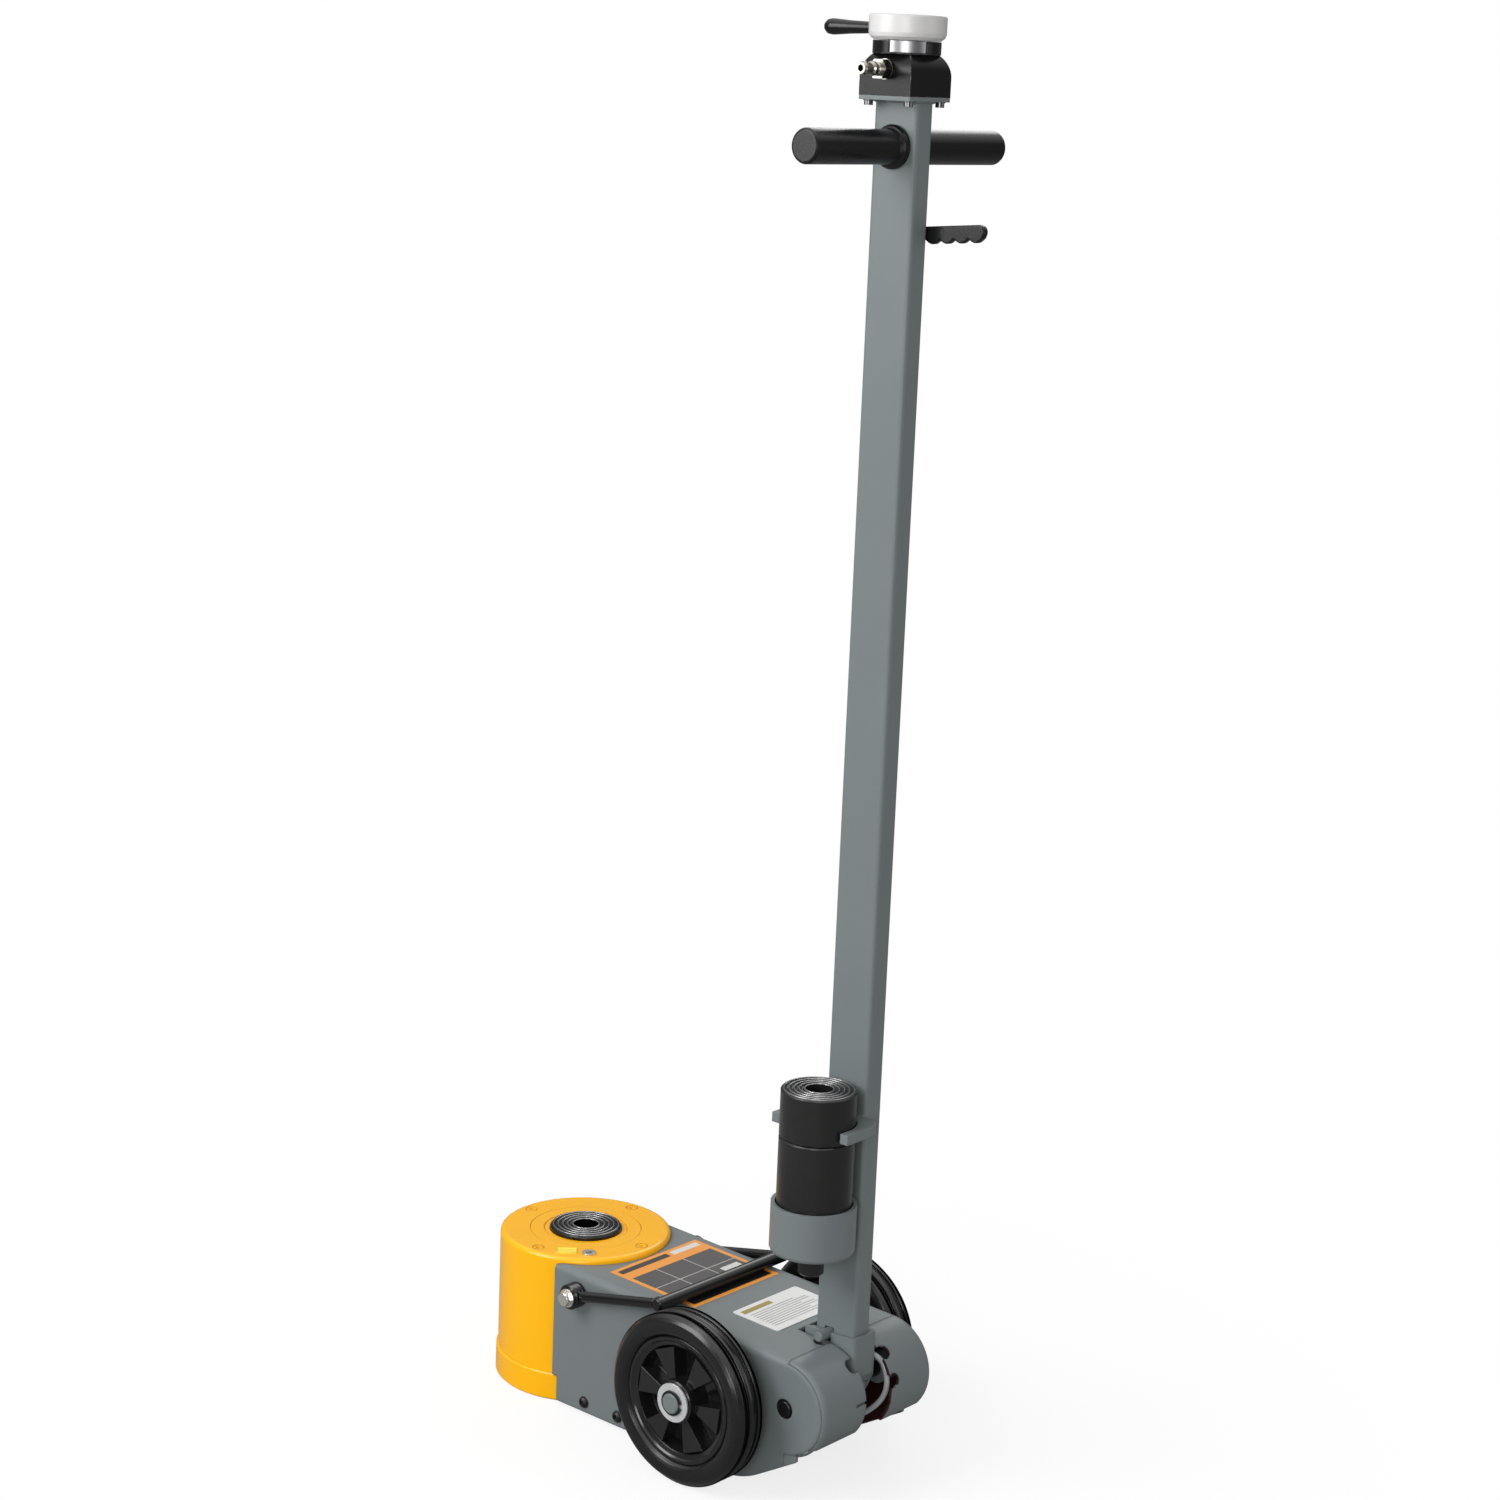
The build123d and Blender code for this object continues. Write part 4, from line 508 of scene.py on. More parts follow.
class Bench:
    """Modelling steps on the active object."""

    ROUND_SHADING = 60.0
    RING_SEGMENTS = (80, 10)

    @staticmethod
    def clear() -> None:
        """Leaves edit mode and deselects everything."""
        if bpy.context.object is not None and bpy.context.object.mode != "OBJECT":
            bpy.ops.object.mode_set(mode="OBJECT")
        bpy.ops.object.select_all(action="DESELECT")

    @staticmethod
    def take(name: str) -> Object:
        """Names the object that an operator has just added."""
        obj = bpy.context.object
        obj.name = name
        obj.data.name = name
        return obj

    @staticmethod
    def sheet(name: str, x: Pair, y: Pair) -> Object:
        """Adds a flat level rectangle at z = 0.

        Args:
            name: Name of the piece.
            x: Its sides in x, in metres.
            y: Its sides in y, in metres.

        Returns:
            The piece, still without thickness.
        """
        Bench.clear()
        bpy.ops.mesh.primitive_plane_add(size=1.0, location=(sum(x) / 2, sum(y) / 2, 0.0))
        obj = Bench.take(name)
        obj.scale = (x[1] - x[0], y[1] - y[0], 1.0)
        bpy.ops.object.transform_apply()
        return obj

    @staticmethod
    def thicken(obj: Object, thick: float, offset: float = 0.0) -> None:
        """Gives a sheet its thickness, about its middle or, at offset 1, all above it."""
        solid = obj.modifiers.new("thickness", "SOLIDIFY")
        solid.thickness = thick
        solid.offset = offset

    @staticmethod
    def close(obj: Object, angle: float = 35.0) -> Object:
        """Leaves edit mode, applies place and modifiers, and smooths the shading.

        Args:
            obj: The object.
            angle: Edges sharper than this, in degrees, stay sharp.

        Returns:
            The same object.
        """
        Bench.clear()
        obj.select_set(True)
        bpy.context.view_layer.objects.active = obj
        bpy.ops.object.transform_apply()
        for modifier in list(obj.modifiers):
            bpy.ops.object.modifier_apply(modifier=modifier.name)
        bpy.ops.object.shade_smooth_by_angle(angle=math.radians(angle))
        return obj

    @staticmethod
    def finish(obj: Object, body: str, slot: str, *paints: Paint) -> Object:
        """Gives a new piece its materials and its body.

        Args:
            obj: The piece.
            body: Name of the body that it rides on.
            slot: Name of the record's material slot. Not used.
            paints: Its finishes, in the order of its material slots.

        Returns:
            The same piece.
        """
        for paint in paints:
            obj.data.materials.append(paint.material())
        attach(obj, body)
        LOG.info("made %s on %s", obj.name, body)
        return obj

    @staticmethod
    def join(name: str, pieces: Sequence[Object]) -> Object:
        """Joins pieces to one mesh.

        Args:
            name: Name of the new piece.
            pieces: What it is joined from.

        Returns:
            The new piece.
        """
        Bench.clear()
        for piece in pieces:
            piece.select_set(True)
        bpy.context.view_layer.objects.active = pieces[0]
        bpy.ops.object.join()
        return Bench.take(name)

    @staticmethod
    def rings(name: str, rings: Iterable[tuple[Point, float]], thick: float) -> Object:
        """Lays level rings and joins them.

        Args:
            name: Name of the piece.
            rings: Middle and radius of each, in metres.
            thick: Radius of a ring's section, in metres.

        Returns:
            The piece.
        """
        around, across = Bench.RING_SEGMENTS
        made = []
        for middle, radius in rings:
            bpy.ops.mesh.primitive_torus_add(location=middle, major_radius=radius, minor_radius=thick,
                                             major_segments=around, minor_segments=across)
            made.append(bpy.context.object)
        return Bench.close(Bench.join(name, made), Bench.ROUND_SHADING)

    @staticmethod
    def curve(name: str, points: Sequence[Point], kind: str = "POLY", closed: bool = False) -> Object:
        """Adds a curve along points.

        Args:
            name: Name of the piece.
            points: Its points, in metres.
            kind: Blender's name of the spline type.
            closed: True for a closed ring.

        Returns:
            The curve object, still without thickness.
        """
        Bench.clear()
        bpy.ops.curve.primitive_nurbs_path_add(location=(0, 0, 0))
        obj = Bench.take(name)
        obj.data.dimensions = "3D"
        splines = obj.data.splines
        splines.remove(splines[0])
        spline = splines.new(kind)
        spline.points.add(len(points) - 1)
        for point, at in zip(spline.points, points):
            point.co = (*at, 1.0)
        spline.use_cyclic_u = closed
        return obj

    @staticmethod
    def sweep(obj: Object, name: str, radius: float, rounding: int, capped: bool = True) -> Object:
        """Gives the active curve a round section and makes it a mesh.

        Args:
            obj: The curve object.
            name: Name of the mesh.
            radius: Radius of the section, in metres.
            rounding: Blender's bevel resolution of the section.
            capped: True to close the ends.

        Returns:
            The mesh object.
        """
        obj.data.bevel_depth = radius
        obj.data.bevel_resolution = rounding
        obj.data.use_fill_caps = capped
        bpy.ops.object.convert(target="MESH")
        return Bench.close(Bench.take(name), Bench.ROUND_SHADING)


@dataclass(frozen=True)
class Weld:
    """A weld bead: overlapping ripples along a line. Radius in metres, and the seed of its unevenness."""

    STEP = 0.0016
    VALLEY = 0.84
    UNEVEN = (0.92, 1.06)
    ROUNDING = 2

    name: str
    radius: float
    seed: int

    def along(self, corners: Sequence[Point], closed: bool = False) -> Object:
        """Lays the bead along straight runs between corners.

        Args:
            corners: Corner points, in metres.
            closed: True to come back to the first corner.

        Returns:
            The bead.
        """
        path: list[Point] = []
        ends = list(corners) + ([corners[0]] if closed else [])
        for a, b in zip(ends, ends[1:]):
            start, run = Vector(a), Vector(b) - Vector(a)
            count = max(2, round(run.length / self.STEP))
            path += [tuple(start + run * (i / count)) for i in range(count)]
        if not closed:
            path.append(tuple(corners[-1]))
        chance = random.Random(self.seed)
        swell = [(1.0 if i % 2 else self.VALLEY) * chance.uniform(*self.UNEVEN) for i in range(len(path))]
        bead = Bench.curve(self.name, path, closed=closed)
        for point, share in zip(bead.data.splines[0].points, swell):
            point.radius = share
        return Bench.sweep(bead, self.name, self.radius, self.ROUNDING, not closed)


@dataclass(frozen=True)
class RidgeCrests:
    """Rounded crests on the concentric ridges of a bearing face, in a lighter steel that paints their highlight.
    Sizes in metres.
    """

    name: str
    body: str
    middle: Point
    pitch: float
    bore: float = 0.0134
    land: float = 0.002
    groove_share: float = 0.75
    count: int = 4
    thick: float = 0.0007
    proud: float = 0.0005

    def build(self) -> Object:
        """Lays one ring on each ridge, from the bore outwards, and joins them."""
        x, y, z = self.middle
        middle = (x, y, z + self.proud - self.thick)
        first = self.bore + self.land - (1.0 - self.groove_share) / 2 * self.pitch
        radii = [self.bore + self.land / 2] + [first + (i + 1) * self.pitch for i in range(self.count)]
        obj = Bench.rings(self.name, [(middle, radius) for radius in radii], self.thick)
        # The crests' lighter steel is a painted highlight.
        return Bench.finish(obj, self.body, "black_steel", Paint.CREST_STEEL)


@dataclass
class LiftingCylinder:
    """Yellow cylinder with its two ram stages and saddle. Sizes in metres."""

    top: float = 0.1625
    saddle_top: float = 0.1665
    ridge_pitch: float = 0.00515
    screw_reach: float = 0.0785
    screw_start: float = 4.0
    screw_count: int = 4
    gap_shade_r: float = 0.0064
    gap_shade_thick: float = 0.0005
    gap_shade_sink: float = 0.0004
    label_at: Pair = (0.034, -0.0643)
    label_turn: float = math.radians(43)
    label_size: Pair = (0.0215, 0.014)
    label_corner: float = 0.0012
    label_steps: int = 4
    label_thick: float = 0.0003
    label_lift: float = 0.00014

    def build(self) -> None:
        """Dresses the solids and adds the saddle's crests with their painted highlight, the painted shade round
        the lid screws and the small label.
        """
        dress(Paint.YELLOW_PAINT, "base_block", "reservoir_housing", "cover_screws", "gland_ring")
        dress(Paint.PLATED_BOLT, "filler_plug")
        dress(Paint.RAM_ONE, "first_stage_ram")
        dress(Paint.CHROME, "second_stage_ram", "hydraulic_sleeve")
        dress(Paint.SADDLE_STEEL, "saddle")
        dress(Paint.TYRE_RUBBER, "piston_seal")
        RidgeCrests("saddle_crests", "second_stage", (0.0, 0.0, self.saddle_top), self.ridge_pitch).build()
        self.screw_gap_shade()
        self.filler_label()

    def screw_gap_shade(self) -> Object:
        """Rings of painted shade in the gaps round the countersunk lid screws."""
        rings = []
        for i in range(self.screw_count):
            turn = math.radians(self.screw_start + 360 / self.screw_count * i)
            x, y = self.screw_reach * math.cos(turn), self.screw_reach * math.sin(turn)
            rings.append(((x, y, self.top - self.gap_shade_sink), self.gap_shade_r))
        obj = Bench.rings("screw_gap_shade", rings, self.gap_shade_thick)
        return Bench.finish(obj, "chassis", "yellow_paint", Paint.SEAM)

    def filler_label(self) -> Object:
        """Bare label beside the filler plug, bevelled all round."""
        wide, deep = self.label_size
        Bench.clear()
        bpy.ops.mesh.primitive_cube_add(size=1.0)
        obj = Bench.take("filler_label")
        obj.scale = (wide, deep, self.label_thick)
        bpy.ops.object.transform_apply()
        bpy.ops.object.mode_set(mode="EDIT")
        bpy.ops.mesh.bevel(offset=self.label_corner, segments=self.label_steps)
        bpy.ops.object.mode_set(mode="OBJECT")
        obj.location = (*self.label_at, self.top + self.label_lift)
        obj.rotation_euler = (0, 0, self.label_turn)
        return Bench.finish(Bench.close(obj), "chassis", "yellow_paint", Paint.LABEL_YELLOW)


@dataclass
class SheetBody:
    """Grey sheet body with its label, data plate and screws. Sizes in metres."""

    front: Pair = (0.0395, 0.157)
    pivot: Pair = (TUBE_X, 0.0986)
    tail_r: float = 0.0515
    label_x: Pair = (0.0955, 0.2165)
    label_y: Pair = (-0.061, 0.072)
    label_lift: float = 0.00004
    border: float = 0.0055
    header: float = 0.027
    band: float = 0.024
    thick: float = 0.0003
    strip_x: Pair = (0.005, 0.0135)
    strip_gap: Pair = (0.08, 0.086)
    band_gap: float = 0.0012
    hair: float = 0.0008
    hair_x: float = 0.034
    hairs_y: Pair = (0.042, 0.084)
    box_x: Pair = (0.043, 0.062)
    box_y: Pair = (0.095, 0.122)
    bar_x: float = 0.0095
    bar_wide: float = 0.007
    bar_inset: float = 0.006
    rule_count: int = 9
    rule_group: int = 3
    rule_x: float = 0.0185
    rule_pitch: float = 0.0041
    rule_wide: float = 0.0009
    rule_inset: float = 0.008
    rule_ends: Pair = (0.01, 0.026)
    rule_thick: float = 0.0002
    rule_lift: float = 0.00088

    def tilt(self) -> float:
        """Slope of the top sheet, in radians."""
        rise = self.front[1] - self.pivot[1] - self.tail_r
        return math.asin(rise / (self.pivot[0] - self.front[0]))

    def top_z(self, x: float) -> float:
        """Height of the top sheet at x."""
        slope = self.tilt()
        end_x = self.pivot[0] + self.tail_r * math.sin(slope)
        end_z = self.pivot[1] + self.tail_r * math.cos(slope)
        return end_z + (end_x - x) * math.tan(slope)

    def build(self) -> None:
        """Dresses the solids and adds the label and the data plate's print."""
        dress(Paint.BODY_PAINT, "body_shell", "tail_plate")
        dress(Paint.GREY_PAINT, "base_tongue", "pivot_bosses")
        dress(Paint.BLACK_STEEL, "side_screws", "pivot_pin", "pivot_clips")
        dress(Paint.SILVER_FOIL, "data_plate")
        self.top_label()
        self.plate_lines()

    def lay(self, obj: Object, middle: float, lift: float) -> None:
        """Turns a piece modelled flat at its own x and y onto the sloping top.

        Args:
            obj: The piece, with its mesh round z = 0.
            middle: The x that it turns about.
            lift: How far its middle stands above the sheet.
        """
        base = Matrix.Translation((middle, 0, self.top_z(middle) + lift))
        turn = Matrix.Rotation(self.tilt(), 4, "Y")
        obj.matrix_world = base @ turn @ Matrix.Translation((-middle, 0, 0))

    def label_fields(self) -> list[tuple[Pair, Pair, Paint]]:
        """Fields of the label on its orange ground.

        Returns:
            Sides in x, sides in y and colour of each, the later ones over the earlier ones.
        """
        (x0, x1), (y0, y1) = self.label_x, self.label_y
        head, foot = x0 + self.header, x1 - self.band
        strip = (x0 + self.strip_x[0], x0 + self.strip_x[1])
        across = (y0 + self.border, y1 - self.border)
        main = (head, foot - self.band_gap)
        fields = [(strip, (across[0], y0 + self.strip_gap[0]), Paint.LABEL_BLACK),
                  (strip, (y0 + self.strip_gap[1], across[1]), Paint.LABEL_PALE),
                  ((foot, x1 - self.border), across, Paint.LABEL_BLACK),
                  (main, across, Paint.LABEL_GREY),
                  ((head + self.hair_x, head + self.hair_x + self.hair), across, Paint.LABEL_PALE)]
        fields += [(main, (y0 + y, y0 + y + self.hair), Paint.LABEL_PALE) for y in self.hairs_y]
        box = (head + self.box_x[0], head + self.box_x[1]), (y0 + self.box_y[0], y0 + self.box_y[1])
        return fields + [(*box, Paint.LABEL_PALE)]

    def top_label(self) -> Object:
        """Framed panel: header, dark field with ruled cells, and a lower band, all left bare."""
        paints = (Paint.LABEL_ORANGE, Paint.LABEL_GREY, Paint.LABEL_BLACK, Paint.LABEL_PALE)
        fields = self.label_fields()
        obj = Bench.sheet("top_label", self.label_x, self.label_y)
        bpy.ops.object.mode_set(mode="EDIT")
        for axis, way in enumerate((Vector((1, 0, 0)), Vector((0, 1, 0)))):
            for at in sorted({side for spans in fields for side in spans[axis]}):
                bpy.ops.mesh.select_all(action="SELECT")
                bpy.ops.mesh.bisect(plane_co=way * at, plane_no=way)
        bpy.ops.object.mode_set(mode="OBJECT")
        for face in obj.data.polygons:
            for (west, east), (south, north), paint in fields:
                if west < face.center.x < east and south < face.center.y < north:
                    face.material_index = paints.index(paint)
        Bench.thicken(obj, self.thick, 1.0)
        self.lay(obj, sum(self.label_x) / 2, self.label_lift)
        return Bench.finish(Bench.close(obj), "chassis", "yellow_paint", *paints)

    def plate_lines(self) -> Object:
        """Print of the blank data plate: a header bar and ruled lines, one thin bar each."""
        low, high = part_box("data_plate")
        bars = [(self.bar_x, self.bar_wide, (low.y + self.bar_inset, (low.y + high.y) / 2))]
        for i in range(self.rule_count):
            end = high.y - self.rule_ends[0 if i % self.rule_group else 1]
            bars.append((self.rule_x + i * self.rule_pitch, self.rule_wide, (low.y + self.rule_inset, end)))
        obj = Bench.join("plate_lines", [
            Bench.sheet("plate_line", (low.x + x - wide / 2, low.x + x + wide / 2), y) for x, wide, y in bars])
        bar_end = low.x + (self.bar_x + self.rule_x) / 2
        for face in obj.data.polygons:
            face.material_index = 0 if face.center.x < bar_end else 1
        Bench.thicken(obj, self.rule_thick)
        self.lay(obj, (low.x + high.x) / 2, self.rule_lift)
        return Bench.finish(Bench.close(obj), "chassis", "bright_aluminium", Paint.PRINT_OLIVE, Paint.PRINT_GREY)


class RollingGear:
    """Two wheels on their axle."""

    def build(self) -> None:
        """Dresses tyres, rims, axle and its washers and rings."""
        dress(Paint.TYRE_RUBBER, "tyre_left", "tyre_right")
        dress(Paint.RIM_PLASTIC, "rim_left", "rim_right")
        dress(Paint.GREY_PAINT, "axle")
        dress(Paint.ZINC, "axle_washers")
        dress(Paint.BLACK_STEEL, "axle_clips")


@dataclass
class Handle:
    """Upright tube with socket, adapters, handlebar, lever and lock. Sizes in metres."""

    tube_half: Pair = (0.0255, 0.0125)
    top: float = 1.377
    cup_z: Pair = (0.2595, 0.31)
    fork_z: Pair = (0.384, 0.394)
    bead_r: float = 0.0017
    bead_seed: int = 40
    flange_sink: float = 0.0003
    cup_bead_x: float = 0.012
    cup_bead_inset: float = 0.009
    cup_bead_out: float = 0.0004
    fork_bead_inset: float = 0.002
    fork_bead_out: float = 0.0002
    lever_pivot: Point = (0.348, 0.0155, 1.253)
    lever_tilt: float = math.radians(-5)
    adapter_tops: tuple[tuple[str, float, float], ...] = (
        ("lower_adapter", 0.3788, 0.0002), ("upper_adapter", 0.4276, 0.0005))
    ridge_pitch: float = 0.005025
    finger_start: Pair = (0.3862, 1.26)
    finger_len: float = 0.0686
    finger_count: int = 4
    finger_depth: Pair = (0.0122, 0.0044)
    finger_half: float = 0.0036
    finger_round: float = 0.0011
    finger_rounding: int = 2
    finger_shading: float = 50.0
    finger_tip: float = 0.55
    finger_back: float = 0.002
    tip_angles: tuple[int, int, int] = (90, -45, -15)
    bulge_steps: int = 12

    def build(self) -> None:
        """Dresses the solids, lays the weld beads and adds the finger grip and the adapters' crests."""
        dress(Paint.GREY_PAINT, "handle_tube", "handle_socket", "adapter_cup", "adapter_fork", "flange_plate",
              "pivot_sleeve", "lock_bar", "lever_plate")
        dress(Paint.BURNISHED, "lower_adapter", "upper_adapter")
        dress(Paint.GRIP_PLASTIC, "grip_left", "grip_right")
        dress(Paint.ZINC, "handlebar", "lever_pin", "lock_rod")
        self.welds()
        self.finger_grip()
        for body, top, proud in self.adapter_tops:
            at = (TUBE_X, ADAPTER_Y, top)
            RidgeCrests(f"{body}_crests", body, at, self.ridge_pitch, proud=proud).build()

    def finger_outline(self) -> list[Point]:
        """Side view of the lever's grip: straight top, round tip, one bulge for each finger below."""
        deep, bulge = self.finger_depth
        tip = deep * self.finger_tip
        points = [(0.0, 0.0, 0.0)]
        for degrees in range(*self.tip_angles):
            a = math.radians(degrees)
            points.append((self.finger_len - tip + tip * math.cos(a), tip * (math.sin(a) - 1.0), 0.0))
        steps = self.bulge_steps * self.finger_count
        run = self.finger_len - self.finger_back
        for i in range(steps + 1):
            share = 1.0 - i / steps
            points.append((run * share, -deep - bulge * abs(math.sin(math.pi * share * self.finger_count)), 0.0))
        return points

    def finger_grip(self) -> Object:
        """Release lever's grip with a bulge under each finger."""
        curve = Bench.curve("lever_finger_grip", self.finger_outline(), closed=True).data
        curve.dimensions = "2D"
        curve.fill_mode = "BOTH"
        curve.extrude = self.finger_half - self.finger_round
        curve.bevel_depth = self.finger_round
        curve.bevel_resolution = self.finger_rounding
        curve.offset = -self.finger_round
        bpy.ops.object.convert(target="MESH")
        obj = bpy.context.object
        x, z = self.finger_start
        pivot = Matrix.Translation(self.lever_pivot)
        place = Matrix.Translation((x, self.lever_pivot[1], z)) @ Matrix.Rotation(math.radians(90), 4, "X")
        obj.matrix_world = pivot @ Matrix.Rotation(self.lever_tilt, 4, "Y") @ pivot.inverted() @ place
        Bench.finish(Bench.close(obj, self.finger_shading), "release_lever", "black_plastic", Paint.GRIP_PLASTIC)
        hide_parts("lever_grip")
        return obj

    def welds(self) -> None:
        """Lays the beads of flange, cup and fork."""
        hx, hy = self.tube_half
        x, (low, high) = TUBE_X, self.cup_z
        ring = [(x - hx, -hy), (x + hx, -hy), (x + hx, hy), (x - hx, hy)]
        beads = [("weld_flange", [(*corner, self.top - self.flange_sink) for corner in ring], True)]
        for side, tag in ((-1, "front"), (1, "rear")):
            at = (x + side * self.cup_bead_x, -hy - self.cup_bead_out)
            ends = (low + self.cup_bead_inset, high - self.cup_bead_inset)
            beads.append((f"weld_cup_{tag}", [(*at, z) for z in ends], False))
        half = hx - self.fork_bead_inset
        for z, tag in zip(self.fork_z, ("low", "high")):
            ends = [(x + side * half, -hy - self.fork_bead_out, z) for side in (-1, 1)]
            beads.append((f"weld_fork_{tag}", ends, False))
        for number, (name, corners, closed) in enumerate(beads):
            bead = Weld(name, self.bead_r, self.bead_seed + number).along(corners, closed)
            Bench.finish(bead, "handle", "grey_paint", Paint.GREY_PAINT)


class ControlHead:
    """Valve block with its collar, knob and air nipple."""

    def build(self) -> None:
        """Dresses the solids of the head."""
        dress(Paint.ANODISED, "control_head", "head_collar")
        dress(Paint.ALUMINIUM, "valve_core", "knob_spindle")
        dress(Paint.WHITE_PLASTIC, "control_knob")
        dress(Paint.GRIP_PLASTIC, "knob_lever")
        dress(Paint.NICKEL, "air_nipple")
        dress(Paint.BOLT_STEEL, "flange_bolts")


@dataclass
class CarryBail:
    """Swinging bail of two arms and a cross bar. Sizes in metres."""

    bar_x: float = 0.1985
    arm_y: float = 0.0945
    arm_r: float = 0.0055
    bead_r: float = 0.0014
    bead_seed: int = 70
    bead_corners: int = 24

    def build(self) -> None:
        """Dresses the bail and welds its arms to the bar."""
        dress(Paint.BLACK_GLOSS, "bail_eyes", "bail_arms", "bail_bar")
        dress(Paint.PLATED_BOLT, "bail_bolts")
        low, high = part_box("bail_bar")
        middle = (low.z + high.z) / 2
        bar_r = (high.z - low.z) / 2
        for side, tag in ((-1, "left"), (1, "right")):
            ring = []
            for i in range(self.bead_corners):
                a = math.tau * i / self.bead_corners
                y, z = self.arm_r * math.cos(a), self.arm_r * math.sin(a)
                x = self.bar_x - math.sqrt(max(0.0, bar_r ** 2 - z ** 2))
                ring.append((x, side * self.arm_y + y, middle + z))
            bead = Weld(f"weld_bail_{tag}", self.bead_r, self.bead_seed + side).along(ring, True)
            Bench.finish(bead, "bail", "black_steel", Paint.BLACK_GLOSS)


@dataclass
class AirDrive:
    """Pump, air motor, pressure pipe and hose. Sizes in metres."""

    hose_r: float = 0.003
    hose_order: int = 3
    hose_steps: int = 16
    hose_rounding: int = 6
    hose_exit: Point = (0.369, 0.0125, 0.1379)
    hose_route: tuple[Point, ...] = (
        (0.35, -0.006, 0.14), (0.387, 0.03, 0.136), (0.404, 0.029, 0.105), (0.397, 0.026, 0.08),
        (0.371, 0.014, 0.058), (0.345, 0.004, 0.048), (0.325, 0.0, 0.045), (0.305, 0.0, 0.045))

    def build(self) -> None:
        """Dresses the drive and runs the hose."""
        self.hose()
        dress(Paint.RED_OXIDE, "air_motor", "pump_block")
        dress(Paint.ZINC, "pressure_pipe")

    def hose(self) -> Object:
        """Air hose on one smooth curve from the handle's foot to the motor."""
        obj = Bench.curve("hose_line", self.hose_route, "NURBS")
        spline = obj.data.splines[0]
        spline.order_u = self.hose_order
        spline.use_endpoint_u = True
        obj.data.resolution_u = self.hose_steps
        middle = bpy.data.meshes.new_from_object(obj)
        bpy.data.meshes.remove(middle)
        tube = Bench.sweep(obj, "hose", self.hose_r, self.hose_rounding)
        tube.data.materials.append(Paint.HOSE.material())
        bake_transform(tube)
        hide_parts("air_hose")
        return tube


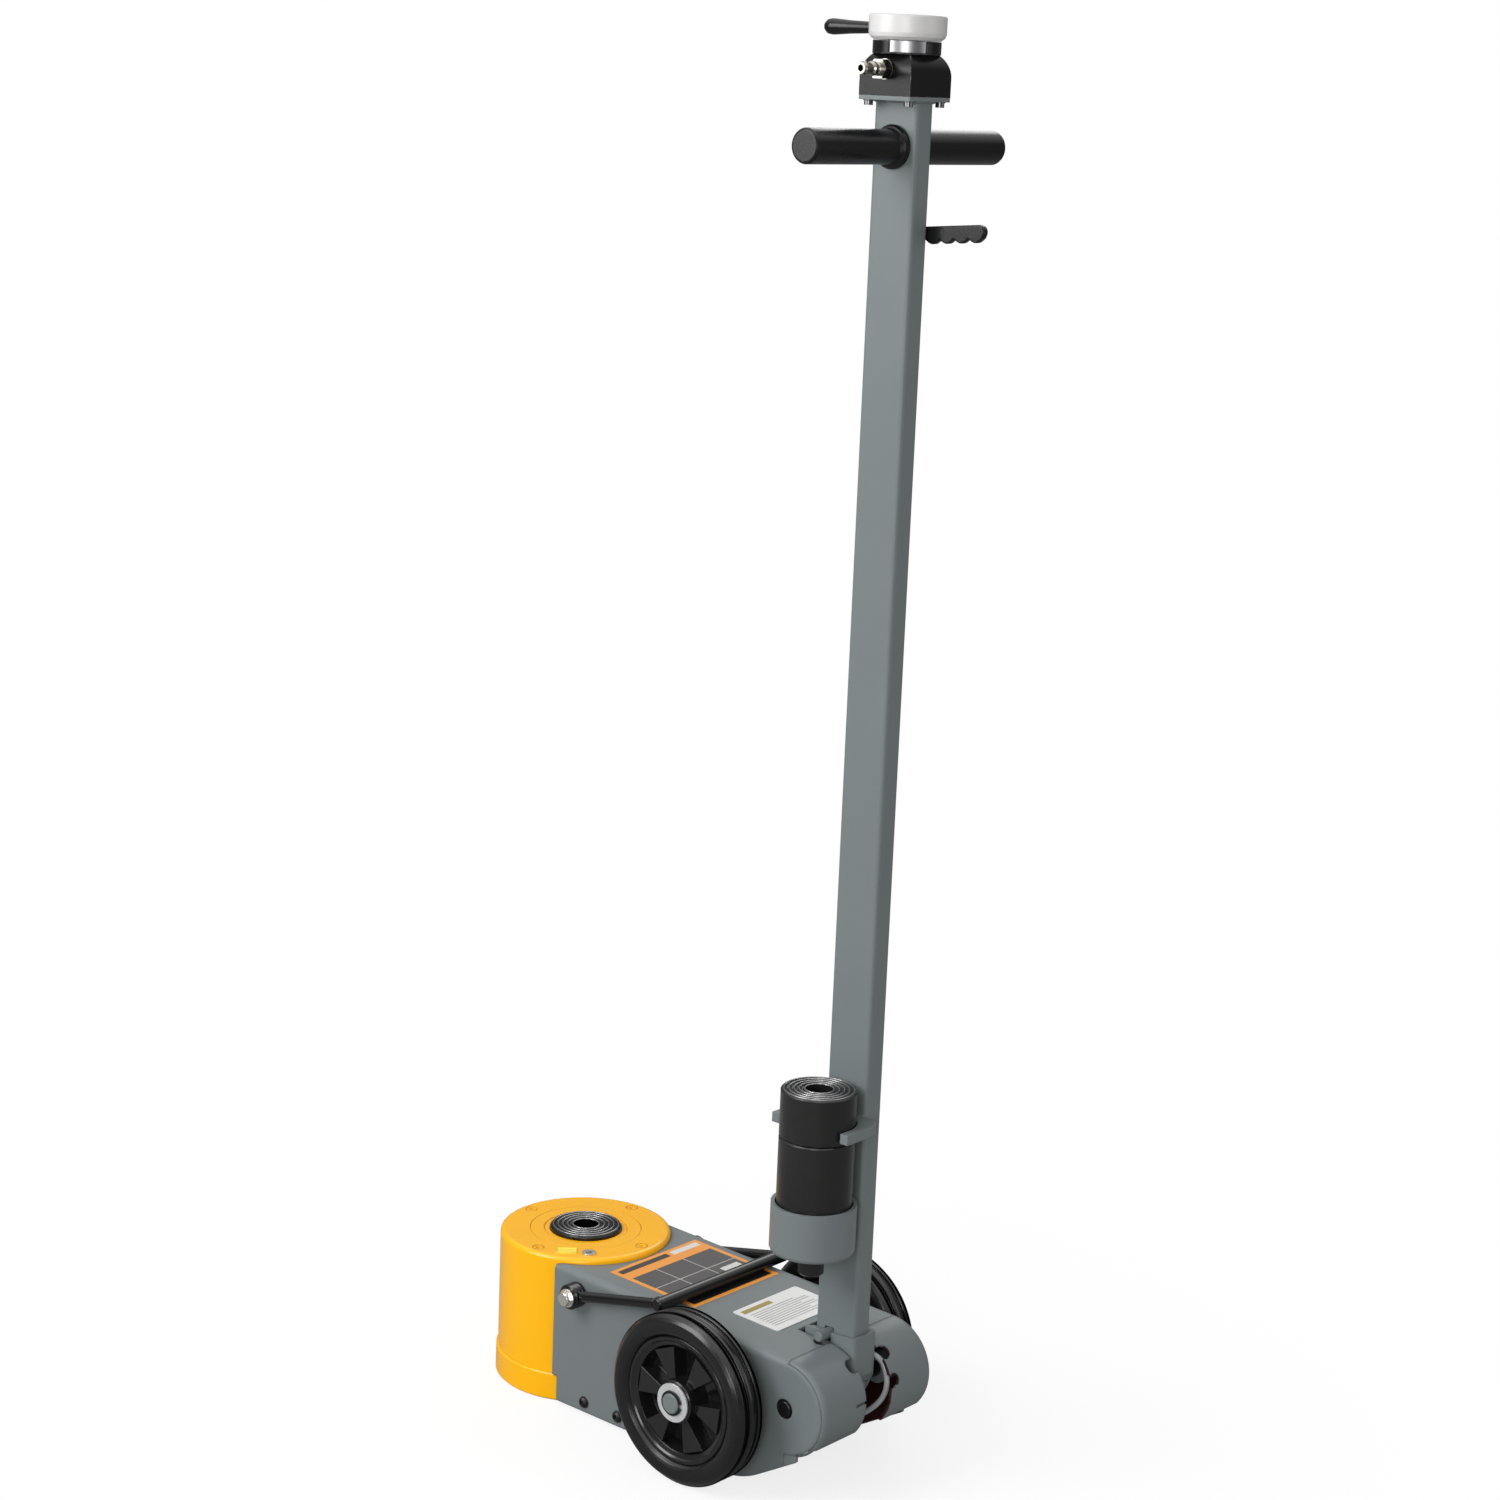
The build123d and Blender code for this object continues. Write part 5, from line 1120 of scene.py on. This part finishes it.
@dataclass
class Studio:
    """Floor, lights, world and the camera of the photograph's view. Sizes in metres."""

    eye: Point = (2.16516, -2.26809, 1.40591)
    turn: float = math.radians(40.799)
    pitch: float = math.radians(12.67)
    roll: float = math.radians(2.368)
    sensor: float = 36.0
    focal_px: float = 3056.1
    frame_px: float = 1500.0
    aim: Point = (0.2, 0.0, 0.6)
    ambient: float = 0.42
    sky_span: Pair = (0.3, 0.98)
    sky_levels: Pair = (0.18, 2.0)
    shadow_at: Point = (0.18, 0.0, 0.0)
    shadow_fade: Pair = (0.25, 0.8)
    floor_size: float = 120.0
    floor_drop: float = 0.0003
    floor_roughness: float = 0.8
    floor_specular: float = 0.1
    floor_share: float = 0.8
    floor_seen: Colour = (1.0, 1.0, 1.0)
    floor_bounce: Colour = (0.32, 0.32, 0.32)
    lamps: dict[str, tuple[float, ...]] = field(default_factory=lambda: {
        "key": (-24.0, 28.0, 2.6, 1.5, 46.0),
        "upper": (-22.0, 48.0, 1.9, 0.7, 4.5),
        "top": (10.0, 82.0, 2.8, 2.4, 6.0),
        "front": (34.0, 12.0, 3.7, 1.5, 46.0),
        "fill": (112.0, 8.0, 3.2, 1.8, 12.0),
        "rim": (205.0, 34.0, 3.4, 1.4, 16.0),
    })

    def build(self) -> None:
        """Sets up the colour view, camera, floor, world and lamps."""
        bpy.context.scene.view_settings.view_transform = "Standard"
        self.camera()
        self.floor()
        self.world()
        for name, given in self.lamps.items():
            self.lamp(name, *given)

    @staticmethod
    def stand(name: str, data: bpy.types.ID) -> Object:
        """Puts a camera or a lamp into the scene."""
        obj = bpy.data.objects.new(name, data)
        bpy.context.scene.collection.objects.link(obj)
        return obj

    def camera(self) -> Object:
        """Camera where the photograph was taken."""
        data = bpy.data.cameras.new("view")
        data.sensor_width = self.sensor
        data.lens = self.sensor * self.focal_px / self.frame_px
        obj = self.stand("view", data)
        aimed = Matrix.Rotation(self.turn, 4, "Z") @ Matrix.Rotation(math.pi / 2 - self.pitch, 4, "X")
        obj.matrix_world = Matrix.Translation(self.eye) @ aimed @ Matrix.Rotation(self.roll, 4, "Z")
        bpy.context.scene.camera = obj
        return obj

    def floor(self) -> Object:
        """Pale floor that keeps a soft shadow and turns white away from the jack."""
        Bench.clear()
        bpy.ops.mesh.primitive_plane_add(size=self.floor_size, location=(0, 0, -self.floor_drop))
        obj = Bench.take("studio_floor")
        mat = bpy.data.materials.new("studio_floor")
        mat.use_nodes = True
        nodes = mat.node_tree.nodes
        w = Wiring(mat.node_tree)
        white = w.node("Emission").outputs[0]
        seen = w.node("LightPath").outputs["Is Camera Ray"]
        w.fill(nodes["Principled BSDF"], {
            "Roughness": self.floor_roughness, "Specular IOR Level": self.floor_specular,
            "Base Color": w.blend(seen, self.floor_bounce, self.floor_seen)})
        place = w.placed(w.node("TexCoord").outputs["Object"], self.shadow_at)
        share = w.span(w.radius(place), *self.shadow_fade, self.floor_share, 1.0)
        both = {0: w.math("MULTIPLY", seen, share), 1: nodes["Principled BSDF"].outputs[0], 2: white}
        w.fill(nodes["Material Output"], {"Surface": w.node("MixShader", both).outputs[0]})
        obj.data.materials.append(mat)
        return obj

    def world(self) -> None:
        """White to the eye, even in its light, and bright above a dim horizon in reflections."""
        world = bpy.data.worlds.new("studio")
        bpy.context.scene.world = world
        world.use_nodes = True
        w = Wiring(world.node_tree)
        path = w.node("LightPath").outputs
        way = w.parts(w.node("TexCoord").outputs["Generated"])
        sky = w.span(way["Z"], *self.sky_span, *self.sky_levels)
        seen = w.math("MAXIMUM", path["Is Camera Ray"], path["Is Transmission Ray"])
        mirrored = path["Is Glossy Ray"]
        other = w.math("SUBTRACT", 1.0, w.math("MAXIMUM", seen, mirrored))
        level = w.weigh(mirrored, sky, other, self.ambient)
        w.fill(world.node_tree.nodes["Background"], {
            "Color": (1, 1, 1, 1), "Strength": w.math("MAXIMUM", seen, level)})

    def lamp(self, name: str, azimuth: float, height: float, away: float, size: float, power: float) -> None:
        """Adds one square soft lamp that looks at the jack.

        Args:
            name: Name of the lamp.
            azimuth: Where it stands, in degrees from -Y towards +X.
            height: Its angle above the floor, in degrees.
            away: Its distance from the aim.
            size: Its side.
            power: Its power in watts.
        """
        a, e = math.radians(azimuth), math.radians(height)
        back = Vector((math.sin(a) * math.cos(e), -math.cos(a) * math.cos(e), math.sin(e)))
        data = bpy.data.lights.new(name, "AREA")
        data.size = size
        data.energy = power
        obj = self.stand("lamp_" + name, data)
        obj.location = Vector(self.aim) + back * away
        obj.rotation_mode = "QUATERNION"
        obj.rotation_quaternion = (-back).to_track_quat("-Z", "Y")


def write_sizes() -> None:
    """Updates the view layer."""
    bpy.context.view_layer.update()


def main() -> None:
    """Builds the studio and every sub-assembly in order."""
    logging.basicConfig(level=logging.INFO, format="%(name)s: %(message)s")
    for kind in (Studio, AirDrive, LiftingCylinder, SheetBody, RollingGear, Handle, ControlHead, CarryBail):
        kind().build()
        LOG.info("%s done", kind.__name__)
    write_sizes()


if __name__ == "__main__":
    main()
